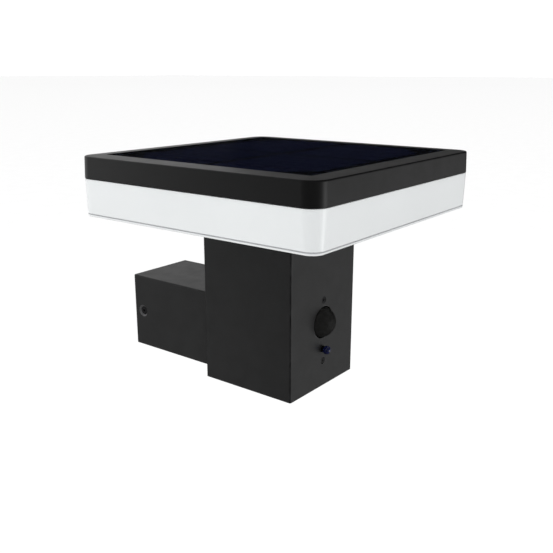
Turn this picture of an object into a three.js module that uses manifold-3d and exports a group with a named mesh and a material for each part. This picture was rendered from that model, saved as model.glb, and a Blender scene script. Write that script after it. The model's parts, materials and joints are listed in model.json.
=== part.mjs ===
// Solar wall light with a motion sensor: a square solar head on an extruded column, carried by a box arm
// that slides over a wall bracket. Millimetres, +Z up. The origin is the middle of the bracket's wall face,
// the wall is the plane y = 0, and the lamp stands out from it along -Y.
import * as THREE from "three";
import { mergeVertices } from "three/addons/utils/BufferGeometryUtils.js";
import Module from "manifold-3d";

const wasm = await Module();
wasm.setup();

// ---------------------------------------------------------------- driving dimensions
const SEAT = 0.2; // gap left between two pieces that rest on each other
const FIT = 0.3; // gap round a piece that drops into a pocket
const PAST = 1; // how far a cutting shape runs past the surface it opens

const HEAD_SIDE = 202; // solar head, square in plan
const HEAD_CORNER = 11.5; // radius of its upright corners
const HEAD_FORWARD = 1; // head's middle in front of the column's
const CAP_HEIGHT = 16; // dark upper casing
const CAP_WALL = 2.5;
const CAP_DRAFT = 0.4; // how far the cap's side leans in from its foot to its rim
const RIM_WIDTH = 14.3; // sloping rim round the panel
const RIM_FALL = 0.6; // how far the rim drops towards its outer edge
const RIM_ROUND = 1; // radius of the rim's outer edge
const WEB_THICK = 2.5; // floor of the cap, which carries the lighting board
const WEB_LIFT = 3.5; // underside of that floor above the cap's lower edge

const PANEL_SINK = 0.2; // cover sheet below the rim
const GLASS_THICK = 0.5;
const CELL_THICK = 0.4;
const BACKING_THICK = 1.6;
const PANEL_TAPE_THICK = 1;
const PANEL_LEDGE = 6; // ledge under the panel's edge
const STRIPS_PER_STRING = 4; // each quarter of the panel is a string of narrow cells
const STRIP_GAP = 2.8;
const STRING_GAP = 7.3; // cross-shaped gap between the quarters
const CELL_MARGIN_X = 2.9; // bare border beside the cells
const CELL_MARGIN_Y = 11.5;
const WAFER_CHAMFER = 22; // cut corner of the wafer, on the panel's four outer corners
const RIBBON_WIDTH = 1.6;
const RIBBON_AT = 17; // each ribbon's distance from the middle of its string

const DIFFUSER_HEIGHT = 26.6;
const DIFFUSER_WALL = 2.2;
const DIFFUSER_INSET = 0.1; // diffuser's side behind the cap's side
const DIFFUSER_DRAFT = 1.2; // how far its side leans in from the cap to its foot
const DIFFUSER_FOOT_CORNER = 8.5; // radius of its upright corners at the foot
const DIFFUSER_LIP = 1.9; // height of the line scribed above the lower edge
const LIP_GROOVE = 0.3;
const LIP_ROUND = 1;
const TONGUE_INSET = 3; // tongue of the diffuser that stands up inside the cap
const TONGUE_HEIGHT = 2.3;
const TONGUE_WALL = 2;
const HEAD_SEAL_THICK = 0.8;
const LED_BOARD_THICK = 1.6;
const LED_BOARD_MARGIN = 10; // board's edge inside the head's side
const LEDS_PER_SIDE = 8;
const LED_SIDE = 3;
const LED_THICK = 0.8;
const LED_FROM_EDGE = 9;
const REFLECTOR_THICK = 0.8;

const COLUMN_SIDE = 80;
const COLUMN_WALL = 2.5;
const COLUMN_EDGE = 1.2; // radius of the column's upright edges
const COLUMN_LENGTH = 126.3;
const COLUMN_DROP = 3.9; // column's foot below the arm's underside
const PORT_BLOCK = 8.5; // solid corner of the extrusion that holds a screw port
const PORT_RADIUS = 2.15; // port for an M4 screw
const NECK_SEAL_THICK = 0.8;
const SPACER_INSET = 3; // neck spacer behind the column's side
const SPACER_WALL = 3;
const FOOT_THICK = 3;
const FOOT_SEAL_THICK = 0.8;

const M4_SHANK = { radius: 2, drive: "cross" };
const FOOT_SCREW = { ...M4_SHANK, head: "countersunk", headRadius: 3.6, headHeight: 1.9, length: 14 };
const ARM_SCREW = { ...M4_SHANK, head: "pan", headRadius: 3.7, headHeight: 2.5, length: 16 };

const ARM_SIDE = 60;
const ARM_WALL = 3;
const ARM_EDGE = 0.8;
const ARM_LENGTH = 88.5; // wall to column
const ARM_PORT_X = 12; // screw ports stand on the arm's top and bottom walls
const ARM_PORT_BLOCK = 8;

const BRACKET_THICK = 2;
const BRACKET_HALF_HEIGHT = 18;
const BRACKET_DEPTH = 28;
const SLOT_WIDTH = 5.2;
const SLOT_LENGTH = 14;
const SLOT_AT = 14;
const CLAMP_AT = 8.6; // clamp screws' distance from the wall
const CLAMP_SINK = 1.2; // screw head below the arm's side
const CLAMP_MOUTH_RADIUS = 4.9; // countersink at the arm's side
const CLAMP_HEAD_RADIUS = 3.4;
const CLAMP_HEAD_HEIGHT = 1.3;
const CLAMP_RADIUS = 2; // M4
const CLAMP_LENGTH = 9;
const CLAMP_NUT = { width: 12, height: 18, thick: 4, boss: 7 };

const SENSOR_HEIGHT = 15.9; // middle of the motion lens above the arm's axis
const LENS_RADIUS = 11.3;
const LENS_BULGE = 8.6;
const LENS_WALL = 1;
const LENS_CLEAR = 0.8; // open ring between the lens and the column's face
const LENS_FLANGE_RADIUS = LENS_RADIUS + 2.7;
const LENS_FLANGE_THICK = 1.5;
const LENS_SEAL_THICK = 0.6;
const UPPER_SCREW_UP = LENS_RADIUS + 5.6; // from the lens's middle
const LOWER_SCREW_DOWN = LENS_RADIUS + 18.55;
const BUTTON_DOWN = LENS_RADIUS + 9.6;
const BUTTON_RADIUS = 3.2; // ball that is pressed
const BUTTON_CLEAR = 1; // flat back of the ball in front of the column's face
const BUTTON_TRAVEL = 0.8;
const STEM_RADIUS = 2.2;
const STEM_PIN_RADIUS = 1.3;
const STEM_FLANGE_RADIUS = 4.8;
const CARRIER = { width: 38, up: LENS_RADIUS + 11.7, down: LENS_RADIUS + 25.7, thick: 5.5 };
const SENSOR_BOARD_DEPTH = 12.4; // front of the sensor board behind the column's face
const BOARD_THICK = 1.6;

const CELL_RADIUS = 9.15; // 18650 battery
const CELL_LENGTH = 65;
const BATTERY_FOOT = 12; // underside of the battery holder above the arm's axis
const HOLDER_WALL = 1.5;
const HOLDER_END = 4.5; // end wall with its contact
const CONTACT_THICK = 0.6;
const HOLDER_STANDOFF = 3.4; // room for the arm's screw heads behind the holder
const CHASSIS_THICK = 1.5;
const CONTROL_BOARD = { width: 44, height: 66 };
const CABLE_RADIUS = 1.4;

// ---------------------------------------------------------------- places worked out from them
const headY = -(ARM_LENGTH + COLUMN_SIDE / 2); // the column's and the head's axis
const footZ = -(ARM_SIDE / 2 + COLUMN_DROP);
const columnTop = footZ + COLUMN_LENGTH;
const diffuserFoot = columnTop + NECK_SEAL_THICK + 2 * SEAT;
const capFoot = diffuserFoot + DIFFUSER_HEIGHT;
const headHalf = HEAD_SIDE / 2;
const columnHalf = COLUMN_SIDE / 2;
const columnInner = columnHalf - COLUMN_WALL;
const portAt = columnInner - PORT_BLOCK / 2 - 0.25;
const panelHalf = headHalf - RIM_WIDTH;
const spacerHalf = columnHalf - SPACER_INSET;
const armInner = ARM_SIDE / 2 - ARM_WALL;
const armPortZ = armInner - ARM_PORT_BLOCK / 2;

// ---------------------------------------------------------------- materials
const finish = (color, roughness, metalness = 0, more = {}) =>
  new THREE.MeshStandardMaterial({ color, roughness, metalness, ...more });
const anthracite = finish(0x35363a, 0.55, 0.3);
const frosted = finish(0xe6eaea, 0.4);
const clearGlass = finish(0x10131c, 0.08, 0, { transparent: true, opacity: 0.35 });
const silicon = finish(0x0d1026, 0.3, 0.1);
const whiteBoard = finish(0xf0f0ea, 0.5);
const greenBoard = finish(0x1d5c38, 0.45);
const blackPlastic = finish(0x1b1b1c, 0.6);
const lensPlastic = finish(0x202020, 0.35);
const buttonBlue = finish(0x101445, 0.2);
const rubber = finish(0x2a2a2c, 0.9);
const zincSteel = finish(0xb4b6b8, 0.35, 0.9);
const blackSteel = finish(0x18181a, 0.4, 0.7);
const sensorCan = finish(0xc9b27a, 0.3, 0.9);
const batteryWrap = finish(0x2f6fa8, 0.4);
const cableJacket = finish(0x222222, 0.7);

// ---------------------------------------------------------------- solids and meshes
function solidFrom(geometry) {
  const bare = geometry.index ? geometry.toNonIndexed() : geometry.clone();
  bare.deleteAttribute("normal");
  bare.deleteAttribute("uv");
  const merged = mergeVertices(bare, 1e-4);
  const mesh = new wasm.Mesh({
    numProp: 3,
    vertProperties: new Float32Array(merged.attributes.position.array),
    triVerts: new Uint32Array(merged.index.array),
  });
  return new wasm.Manifold(mesh);
}

function geometryFrom(solid) {
  const mesh = solid.getMesh();
  const geometry = new THREE.BufferGeometry();
  geometry.setAttribute("position", new THREE.BufferAttribute(mesh.vertProperties, mesh.numProp));
  geometry.setIndex(new THREE.BufferAttribute(mesh.triVerts, 1));
  const flat = geometry.toNonIndexed();
  flat.computeVertexNormals();
  return flat;
}

function part(name, solid, material) {
  const mesh = new THREE.Mesh(geometryFrom(solid), material);
  mesh.name = name;
  return mesh;
}

const joined = (solids) => solids.reduce((sum, next) => sum.add(next));
const cut = (solid, cutters) => cutters.reduce((left, next) => left.subtract(next), solid);

// A shape in the XY plane, from z0 up to z1.
function slab(shape, z0, z1, curveSegments = 6) {
  const options = { depth: z1 - z0, bevelEnabled: false, curveSegments };
  return solidFrom(new THREE.ExtrudeGeometry(shape, options).translate(0, 0, z0));
}

// A box given by its two corners.
function block([x0, y0, z0], [x1, y1, z1]) {
  const box = new THREE.BoxGeometry(x1 - x0, y1 - y0, z1 - z0);
  return solidFrom(box.translate((x0 + x1) / 2, (y0 + y1) / 2, (z0 + z1) / 2));
}

// A box given by its middle and its size.
function centredBox([x, y, z], [sizeX, sizeY, sizeZ]) {
  return solidFrom(new THREE.BoxGeometry(sizeX, sizeY, sizeZ).translate(x, y, z));
}

// A round bar along Z.
function bar(radius, z0, z1, x = 0, y = 0, segments = 24) {
  const cylinder = new THREE.CylinderGeometry(radius, radius, z1 - z0, segments);
  return solidFrom(cylinder.rotateX(Math.PI / 2).translate(x, y, (z0 + z1) / 2));
}

// A profile of [radius, z] points turned round Z; it starts and ends on the axis or closes on itself.
function turned(profile, segments = 24) {
  const points = profile.map(([radius, z]) => new THREE.Vector2(radius, z));
  return solidFrom(new THREE.LatheGeometry(points, segments).rotateX(Math.PI / 2));
}

// A hexagonal bar along Z, given by its width across flats.
const hexBar = (acrossFlats, z0, z1) => bar(acrossFlats / Math.sqrt(3), z0, z1, 0, 0, 6);

function traceRectangle(path, halfX, halfY, radius, clockwise = false) {
  const corners = [
    [halfX, -halfY, -Math.PI / 2],
    [halfX, halfY, 0],
    [-halfX, halfY, Math.PI / 2],
    [-halfX, -halfY, Math.PI],
  ];
  if (radius <= 0) {
    const points = corners.map(([x, y]) => new THREE.Vector2(x, y));
    return path.setFromPoints(clockwise ? points.reverse() : points);
  }
  const order = clockwise ? [...corners].reverse() : corners;
  order.forEach(([x, y, start]) => {
    const centreX = x - Math.sign(x) * radius;
    const centreY = y - Math.sign(y) * radius;
    const end = start + Math.PI / 2;
    path.absarc(centreX, centreY, radius, clockwise ? end : start, clockwise ? start : end, clockwise);
  });
  path.closePath();
  return path;
}
const rectangle = (halfX, halfY, radius = 0) =>
  traceRectangle(new THREE.Shape(), halfX, halfY, radius);
const rectangleHole = (halfX, halfY, radius = 0) =>
  traceRectangle(new THREE.Path(), halfX, halfY, radius, true);

// A square frame: outer and inner half sides, from z0 up to z1.
function frameSolid(outer, outerRadius, inner, innerRadius, z0, z1) {
  const shape = rectangle(outer, outer, outerRadius);
  shape.holes.push(rectangleHole(inner, inner, innerRadius));
  return slab(shape, z0, z1);
}

// Skins a stack of rounded squares: each ring is { half, radius, z }, from the lowest up.
function loft(rings, cornerSteps = 6) {
  const outline = ({ half, radius, z }) => {
    const points = [];
    for (let corner = 0; corner < 4; corner++)
      for (let step = 0; step <= cornerSteps; step++) {
        const angle = ((corner + step / cornerSteps) * Math.PI) / 2;
        const sideX = corner === 0 || corner === 3 ? 1 : -1;
        const sideY = corner < 2 ? 1 : -1;
        const x = sideX * (half - radius) + radius * Math.cos(angle);
        const y = sideY * (half - radius) + radius * Math.sin(angle);
        points.push(x, y, z);
      }
    return points;
  };
  const count = 4 * (cornerSteps + 1);
  const positions = rings.flatMap(outline);
  const index = [];
  for (let ring = 0; ring + 1 < rings.length; ring++)
    for (let i = 0; i < count; i++) {
      const a = ring * count + i;
      const b = ring * count + ((i + 1) % count);
      index.push(a, b, b + count, a, b + count, a + count);
    }
  const lowCentre = positions.length / 3;
  const highCentre = lowCentre + 1;
  positions.push(0, 0, rings[0].z, 0, 0, rings[rings.length - 1].z);
  const lastRing = (rings.length - 1) * count;
  for (let i = 0; i < count; i++) {
    const next = (i + 1) % count;
    index.push(lowCentre, next, i, highCentre, lastRing + i, lastRing + next);
  }
  const geometry = new THREE.BufferGeometry();
  geometry.setAttribute("position", new THREE.Float32BufferAttribute(positions, 3));
  geometry.setIndex(index);
  return solidFrom(geometry);
}

const atCorners = (distance) => [
  [distance, distance],
  [-distance, distance],
  [-distance, -distance],
  [distance, -distance],
];

// A screw along Z with the top of its head at z = 0 and its shank below.
function screw({ head, headRadius, headHeight, radius, length, drive }) {
  const bearing = head === "countersunk" ? [[radius, -headHeight]] : [
    [radius, -headHeight],
    [headRadius, -headHeight],
  ];
  const crown = head === "pan" ? [
    [headRadius, -headHeight * 0.45],
    [headRadius * 0.7, 0],
  ] : [
    [headRadius, head === "countersunk" ? -0.3 : 0],
    [headRadius - 0.2, 0],
  ];
  const tip = [
    [0, -length],
    [radius - 0.5, -length],
    [radius, 0.6 - length],
  ];
  const body = turned([...tip, ...bearing, ...crown, [0, 0]], 20);
  const depth = headHeight * 0.6;
  if (drive === "hex") return body.subtract(hexBar(radius * 1.25, -depth, PAST));
  const arm = headRadius * 0.55;
  const slot = headRadius * 0.14;
  return cut(body, [
    block([-arm, -slot, -depth], [arm, slot, PAST]),
    block([-slot, -arm, -depth], [slot, arm, PAST]),
  ]);
}

// ---------------------------------------------------------------- solar head (z = 0 at the cap's lower edge)
const glassTop = CAP_HEIGHT - PANEL_SINK;
const cellTop = glassTop - GLASS_THICK - SEAT;
const backingTop = cellTop - CELL_THICK - SEAT;
const tapeTop = backingTop - BACKING_THICK - SEAT;
const ledgeZ = tapeTop - PANEL_TAPE_THICK - SEAT;
const webTop = WEB_LIFT + WEB_THICK;
const wireHoleRadius = 11;
const boltPlaces = atCorners(portAt).map(([x, y]) => [x, y + HEAD_FORWARD]);

function topCap() {
  const rim = { half: panelHalf, z: CAP_HEIGHT };
  const edgeZ = CAP_HEIGHT - RIM_FALL;
  const topHalf = headHalf - CAP_DRAFT;
  const rings = [{ half: headHalf, radius: HEAD_CORNER, z: 0 }];
  const steps = 4;
  for (let step = 0; step <= steps; step++) {
    const angle = ((step / steps) * Math.PI) / 2;
    const inset = RIM_ROUND * (1 - Math.cos(angle));
    const z = edgeZ - RIM_ROUND * (1 - Math.sin(angle));
    rings.push({ half: topHalf - inset, radius: HEAD_CORNER - inset, z });
  }
  rings.push({ half: rim.half, radius: 1, z: rim.z });
  const ledgeHalf = panelHalf - PANEL_LEDGE;
  const underHalf = headHalf - CAP_WALL;
  const boltHoles = boltPlaces.map(([x, y]) => bar(2.3, 0, webTop + PAST, x, y, 16));
  return cut(loft(rings), [
    slab(rectangle(panelHalf, panelHalf, 1), ledgeZ, CAP_HEIGHT + PAST),
    slab(rectangle(ledgeHalf, ledgeHalf, 4), webTop, ledgeZ + PAST),
    slab(rectangle(underHalf, underHalf, HEAD_CORNER - CAP_WALL), -PAST, WEB_LIFT),
    bar(wireHoleRadius, 0, webTop + PAST, 0, HEAD_FORWARD),
    ...boltHoles,
  ]);
}

const panelGlass = () =>
  slab(rectangle(panelHalf - FIT, panelHalf - FIT, 1), glassTop - GLASS_THICK, glassTop);

// One quarter of the panel: narrow cells side by side, tied by two ribbons, with the wafer's cut corner.
function cellString(sideX, sideY) {
  const near = STRING_GAP / 2;
  const farX = panelHalf - CELL_MARGIN_X;
  const farY = panelHalf - CELL_MARGIN_Y;
  const outline = [
    [near, near],
    [farX, near],
    [farX, farY - WAFER_CHAMFER],
    [farX - WAFER_CHAMFER, farY],
    [near, farY],
  ].map(([x, y]) => new THREE.Vector2(sideX * x, sideY * y));
  const low = cellTop - CELL_THICK;
  const wafer = slab(new THREE.Shape(outline), low, cellTop);
  const pitch = (farX - near + STRIP_GAP) / STRIPS_PER_STRING;
  const gaps = [];
  for (let i = 1; i < STRIPS_PER_STRING; i++) {
    const gapX = sideX * (near + i * pitch - STRIP_GAP / 2);
    gaps.push(centredBox([gapX, 0, cellTop], [STRIP_GAP, 2 * panelHalf, CELL_THICK * 4]));
  }
  const middle = (sideY * (near + farY)) / 2;
  const length = farX - near - 4 * STRIP_GAP;
  const ribbons = [-RIBBON_AT, RIBBON_AT].map((offset) =>
    centredBox(
      [sideX * (near + STRIP_GAP + length / 2), middle + offset, low + CELL_THICK * 0.45],
      [length, RIBBON_WIDTH, CELL_THICK * 0.5],
    ),
  );
  return joined([cut(wafer, gaps), ...ribbons]);
}

const panelBacking = () => {
  const half = panelHalf - FIT;
  return slab(rectangle(half, half, 1), backingTop - BACKING_THICK, backingTop);
};

const panelTape = () => {
  const low = tapeTop - PANEL_TAPE_THICK;
  return frameSolid(panelHalf - FIT, 1, panelHalf - PANEL_LEDGE + FIT, 4, low, tapeTop);
};

const ledBoardTop = WEB_LIFT - SEAT;
const ledBoardHalf = headHalf - LED_BOARD_MARGIN;
const neckHole = spacerHalf + 1 + HEAD_FORWARD;

function ledPlaces() {
  const line = ledBoardHalf - LED_FROM_EDGE;
  const places = [];
  for (let i = 0; i < LEDS_PER_SIDE; i++) {
    const along = line * (-1 + (2 * i) / LEDS_PER_SIDE);
    places.push([along, -line], [line, along], [-along, line], [-line, -along]);
  }
  return places;
}

function ledBoard() {
  const low = ledBoardTop - LED_BOARD_THICK;
  const board = frameSolid(ledBoardHalf, 4, neckHole, 2, low, ledBoardTop);
  const half = LED_SIDE / 2;
  const chips = ledPlaces().map(([x, y]) =>
    block([x - half, y - half, low - LED_THICK], [x + half, y + half, low + 0.4]),
  );
  return joined([board, ...chips]);
}

function reflectorSheet() {
  const top = ledBoardTop - LED_BOARD_THICK - SEAT;
  const low = top - REFLECTOR_THICK;
  const half = LED_SIDE / 2 + FIT;
  const windows = ledPlaces().map(([x, y]) =>
    block([x - half, y - half, low - PAST], [x + half, y + half, top + PAST]),
  );
  return cut(frameSolid(ledBoardHalf + 2, 4, neckHole, 2, low, top), windows);
}

// The diffuser's side leans in towards its foot, and its corners tighten with it.
function diffuserShell() {
  const side = headHalf - DIFFUSER_INSET;
  const corner = HEAD_CORNER - DIFFUSER_INSET;
  const floor = -DIFFUSER_HEIGHT;
  const line = floor + DIFFUSER_LIP;
  const ring = (inset, z) => {
    const lean = z / floor;
    const radius = corner + (DIFFUSER_FOOT_CORNER - corner) * lean - inset;
    return { half: side - DIFFUSER_DRAFT * lean - inset, radius, z };
  };
  return loft([
    ring(LIP_ROUND, floor),
    ring(LIP_ROUND * 0.3, floor + LIP_ROUND * 0.3),
    ring(0, floor + LIP_ROUND),
    ring(0, line - LIP_GROOVE),
    ring(LIP_GROOVE, line),
    ring(0, line + LIP_GROOVE),
    ring(0, -SEAT),
  ]);
}

function diffuser() {
  const floor = -DIFFUSER_HEIGHT;
  const inner = headHalf - DIFFUSER_INSET - DIFFUSER_DRAFT - DIFFUSER_WALL;
  const innerCorner = DIFFUSER_FOOT_CORNER - DIFFUSER_WALL;
  const rimInner = headHalf - TONGUE_INSET - TONGUE_WALL;
  const rimCorner = HEAD_CORNER - TONGUE_INSET - TONGUE_WALL;
  const rimLow = -SEAT - DIFFUSER_WALL;
  const cavity = slab(rectangle(inner, inner, innerCorner), floor + DIFFUSER_WALL, rimLow);
  const mouth = slab(rectangle(rimInner, rimInner, rimCorner), rimLow - PAST, TONGUE_HEIGHT + PAST);
  const tongueHalf = headHalf - TONGUE_INSET;
  const tongueShape = rectangle(tongueHalf, tongueHalf, HEAD_CORNER - TONGUE_INSET);
  const tongue = slab(tongueShape, -PAST, TONGUE_HEIGHT);
  const wireHole = bar(wireHoleRadius, floor - PAST, 0, 0, HEAD_FORWARD);
  const boltHoles = boltPlaces.map(([x, y]) => bar(2.3, floor - PAST, 0, x, y, 16));
  return cut(diffuserShell().add(tongue), [cavity, mouth, wireHole, ...boltHoles]);
}

const headSeal = () => {
  const outer = headHalf - TONGUE_INSET;
  const low = TONGUE_HEIGHT + SEAT;
  const inner = outer - TONGUE_WALL;
  const radius = HEAD_CORNER - TONGUE_INSET;
  return frameSolid(outer, radius, inner, radius - TONGUE_WALL, low, low + HEAD_SEAL_THICK);
};

// Hollow post between the cap's floor and the diffuser's floor, which takes the clamping of the head bolts.
function neckSpacer() {
  const low = DIFFUSER_WALL + SEAT - DIFFUSER_HEIGHT;
  const high = WEB_LIFT - SEAT;
  const inner = spacerHalf - SPACER_WALL;
  const tube = frameSolid(spacerHalf, 2, inner, 1, low, high);
  const posts = atCorners(portAt).map(([x, y]) => {
    const reach = (inner + 0.5 - portAt) * 2;
    const [a, b] = [x - Math.sign(x) * reach * 0.5, x + Math.sign(x) * (inner + 0.5 - portAt)];
    const [c, d] = [y - Math.sign(y) * reach * 0.5, y + Math.sign(y) * (inner + 0.5 - portAt)];
    return block([Math.min(a, b), Math.min(c, d), low], [Math.max(a, b), Math.max(c, d), high]);
  });
  const holes = atCorners(portAt).map(([x, y]) => bar(2.3, low - PAST, high + PAST, x, y, 16));
  const wireNotch = block([inner - PAST, -3, high - 6], [spacerHalf + PAST, 3, high + PAST]);
  return cut(joined([tube, ...posts]), [...holes, wireNotch]);
}

const headBolt = () =>
  screw({
    head: "socket",
    headRadius: 3.5,
    headHeight: 3,
    radius: 2,
    length: 3 + SEAT + webTop + DIFFUSER_HEIGHT + NECK_SEAL_THICK + 10,
    drive: "hex",
  });

const cellPlaces = { back_right: [1, 1], back_left: [-1, 1], front_left: [-1, -1], front_right: [1, -1] };

function headShell() {
  const shell = new THREE.Group();
  shell.add(part("top_cap", topCap(), anthracite));
  shell.add(part("panel_glass", panelGlass(), clearGlass));
  for (const [place, [sideX, sideY]] of Object.entries(cellPlaces))
    shell.add(part(`cell_string_${place}`, cellString(sideX, sideY), silicon));
  shell.add(part("panel_backing", panelBacking(), blackPlastic));
  shell.add(part("panel_tape", panelTape(), rubber));
  shell.add(part("led_board", ledBoard(), whiteBoard));
  shell.add(part("reflector_sheet", reflectorSheet(), whiteBoard));
  shell.add(part("diffuser", diffuser(), frosted));
  shell.add(part("head_seal", headSeal(), rubber));
  shell.position.y = -HEAD_FORWARD;
  return shell;
}

function solarHead() {
  const head = new THREE.Group();
  head.add(headShell());
  head.add(part("neck_spacer", neckSpacer(), blackPlastic));
  atCorners(portAt).forEach(([x, y], i) => {
    const bolt = part(`head_bolt_${i + 1}`, headBolt(), zincSteel);
    bolt.position.set(x, y, webTop + SEAT + 3);
    head.add(bolt);
  });
  head.position.z = capFoot;
  return head;
}

// ---------------------------------------------------------------- column (z = 0 at its foot)
// Depth behind the column's front face, as a place on its Y axis.
const behindFace = (depth) => depth - columnHalf;
const sensorZ = SENSOR_HEIGHT - footZ;
const armZ = -footZ; // the arm's axis above the column's foot
const footPocket = FOOT_THICK + FOOT_SEAL_THICK + 2 * SEAT;

function columnTube() {
  const outline = rectangle(columnHalf, columnHalf, COLUMN_EDGE);
  outline.holes.push(rectangleHole(columnInner, columnInner, 0));
  const tube = slab(outline, 0, COLUMN_LENGTH, 4);
  const side = PORT_BLOCK;
  const blocks = atCorners(columnInner - side / 2 + 0.25).map(([x, y]) =>
    block([x - side / 2 - 0.25, y - side / 2 - 0.25, footPocket],
      [x + side / 2 + 0.25, y + side / 2 + 0.25, COLUMN_LENGTH]),
  );
  const ports = atCorners(portAt).map(([x, y]) =>
    bar(PORT_RADIUS, footPocket - PAST, COLUMN_LENGTH + PAST, x, y, 16));
  return cut(joined([tube, ...blocks]), [...ports, faceHoles(), ...armHoles()]);
}

// Countersunk hole for a sensor screw, seen from the face.
function sensorScrewHole(up) {
  const profile = [
    [0, -PAST - COLUMN_WALL],
    [1.5, -PAST - COLUMN_WALL],
    [1.5, -1.8],
    [2.75, -0.5],
    [2.75, PAST],
    [0, PAST],
  ];
  return turned(profile, 20).translate([0, up, 0]);
}

// Openings in the front wall for the lens, the button's stem and the two screws, cut along Y.
function faceHoles() {
  const through = (radius, up) => bar(radius, -PAST - COLUMN_WALL, PAST, 0, up, 32);
  const holes = joined([
    through(LENS_RADIUS + LENS_CLEAR, 0),
    through(STEM_RADIUS + FIT, -BUTTON_DOWN),
    sensorScrewHole(UPPER_SCREW_UP),
    sensorScrewHole(-LOWER_SCREW_DOWN),
  ]);
  return holes.rotate([90, 0, 0]).translate([0, -columnHalf, sensorZ]);
}

const armScrewPlaces = [
  [ARM_PORT_X, armPortZ],
  [-ARM_PORT_X, armPortZ],
  [-ARM_PORT_X, -armPortZ],
  [ARM_PORT_X, -armPortZ],
];

const armHoles = () =>
  armScrewPlaces.map(([x, up]) =>
    bar(2.3, -PAST, COLUMN_WALL + PAST, 0, 0, 16)
      .rotate([-90, 0, 0])
      .translate([x, columnInner, armZ + up]),
  );

const footScrewSink = ([x, y]) => {
  const profile = [
    [0, -PAST],
    [3.9, -PAST],
    [3.9, 0.5],
    [2.3, 2.1],
    [2.3, FOOT_THICK + PAST],
    [0, FOOT_THICK + PAST],
  ];
  return turned(profile, 20).translate([x, y, 0]);
};

const columnFoot = () => {
  const half = columnInner - FIT;
  const plate = slab(rectangle(half, half, 1), 0, FOOT_THICK);
  return cut(plate, atCorners(portAt).map(footScrewSink));
};

const footSeal = () => {
  const half = columnInner - FIT;
  const low = FOOT_THICK + SEAT;
  const frame = frameSolid(half, 1, columnInner - PORT_BLOCK, 3, low, low + FOOT_SEAL_THICK);
  return cut(frame, atCorners(portAt).map(([x, y]) => bar(2.4, 0, low + 2, x, y, 16)));
};

const neckSeal = () => {
  const low = COLUMN_LENGTH + SEAT;
  const inner = columnInner - PORT_BLOCK;
  const frame = frameSolid(columnHalf - 0.8, 1, inner, 3, low, low + NECK_SEAL_THICK);
  return cut(frame, atCorners(portAt).map(([x, y]) => bar(2.4, low - 1, low + 3, x, y, 16)));
};

// ---------------------------------------------------------------- sensor module
// Its frame lies on the column's face: x across, y up from the lens's middle, z out of the face.
const sealBack = -(COLUMN_WALL + SEAT + LENS_SEAL_THICK);
const flangeFront = sealBack - SEAT;
const flangeBack = flangeFront - LENS_FLANGE_THICK;
const carrierFront = -(COLUMN_WALL + SEAT);
const carrierBack = carrierFront - CARRIER.thick;

// The radius of the sphere that bulges by a height over a round base.
const capRadius = (base, bulge) => (base * base + bulge * bulge) / (2 * bulge);

function arcProfile(base, bulge, z, steps, reverse = false) {
  const radius = capRadius(base, bulge);
  const half = Math.asin(base / radius);
  const points = [];
  for (let i = 0; i <= steps; i++) {
    const angle = half * (1 - i / steps);
    points.push([i === steps ? 0 : radius * Math.sin(angle), z + bulge - radius * (1 - Math.cos(angle))]);
  }
  return reverse ? points.reverse() : points;
}

function motionLens() {
  const inner = LENS_RADIUS - LENS_WALL;
  return turned([
    ...arcProfile(inner, LENS_BULGE - LENS_WALL, 0, 5, true),
    [inner, flangeBack],
    [LENS_FLANGE_RADIUS, flangeBack],
    [LENS_FLANGE_RADIUS, flangeFront],
    [LENS_RADIUS, flangeFront],
    ...arcProfile(LENS_RADIUS, LENS_BULGE, 0, 6),
  ], 32);
}

const lensSeal = () => {
  const inner = LENS_RADIUS + LENS_CLEAR;
  const front = sealBack + LENS_SEAL_THICK;
  return turned([
    [inner, sealBack],
    [LENS_FLANGE_RADIUS, sealBack],
    [LENS_FLANGE_RADIUS, front],
    [inner, front],
    [inner, sealBack],
  ], 32);
};

const switchBodyFront = -(SENSOR_BOARD_DEPTH - SEAT - 3.6);
const plungerFront = switchBodyFront + 1.2;
const stemFlangeBack = carrierFront - 1;
const ballMiddle = BUTTON_RADIUS + 0.1; // in front of the column's face
const pinFront = ballMiddle + 0.7;

// Ball with a flat back and a blind bore that takes the stem's pin.
function modeButton() {
  const start = Math.asin((BUTTON_CLEAR - ballMiddle) / BUTTON_RADIUS);
  const steps = 9;
  const ball = [];
  for (let i = 0; i <= steps; i++) {
    const angle = start + ((Math.PI / 2 - start) * i) / steps;
    const radius = i === steps ? 0 : BUTTON_RADIUS * Math.cos(angle);
    ball.push([radius, ballMiddle + BUTTON_RADIUS * Math.sin(angle)]);
  }
  const bore = STEM_PIN_RADIUS + SEAT;
  return turned([
    [0, pinFront + SEAT],
    [bore, pinFront + SEAT],
    [bore, BUTTON_CLEAR],
    ...ball,
  ], 24).translate([0, -BUTTON_DOWN, 0]);
}

const buttonStem = () =>
  turned([
    [0, plungerFront + SEAT],
    [1.4, plungerFront + SEAT],
    [1.4, stemFlangeBack],
    [STEM_FLANGE_RADIUS, stemFlangeBack],
    [STEM_FLANGE_RADIUS, carrierFront],
    [STEM_RADIUS, carrierFront],
    [STEM_RADIUS, BUTTON_CLEAR - SEAT],
    [STEM_PIN_RADIUS, BUTTON_CLEAR - SEAT],
    [STEM_PIN_RADIUS, pinFront],
    [0, pinFront],
  ], 24).translate([0, -BUTTON_DOWN, 0]);

const switchPlunger = () =>
  bar(1.5, switchBodyFront - 0.4, plungerFront, 0, -BUTTON_DOWN, 16);

const tactSwitch = () => {
  const back = -(SENSOR_BOARD_DEPTH - SEAT);
  const body = block([-3, -BUTTON_DOWN - 3, back], [3, -BUTTON_DOWN + 3, switchBodyFront]);
  const well = bar(1.9, switchBodyFront - BUTTON_TRAVEL - 0.8, switchBodyFront + PAST, 0, -BUTTON_DOWN, 16);
  return body.subtract(well);
};

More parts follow.
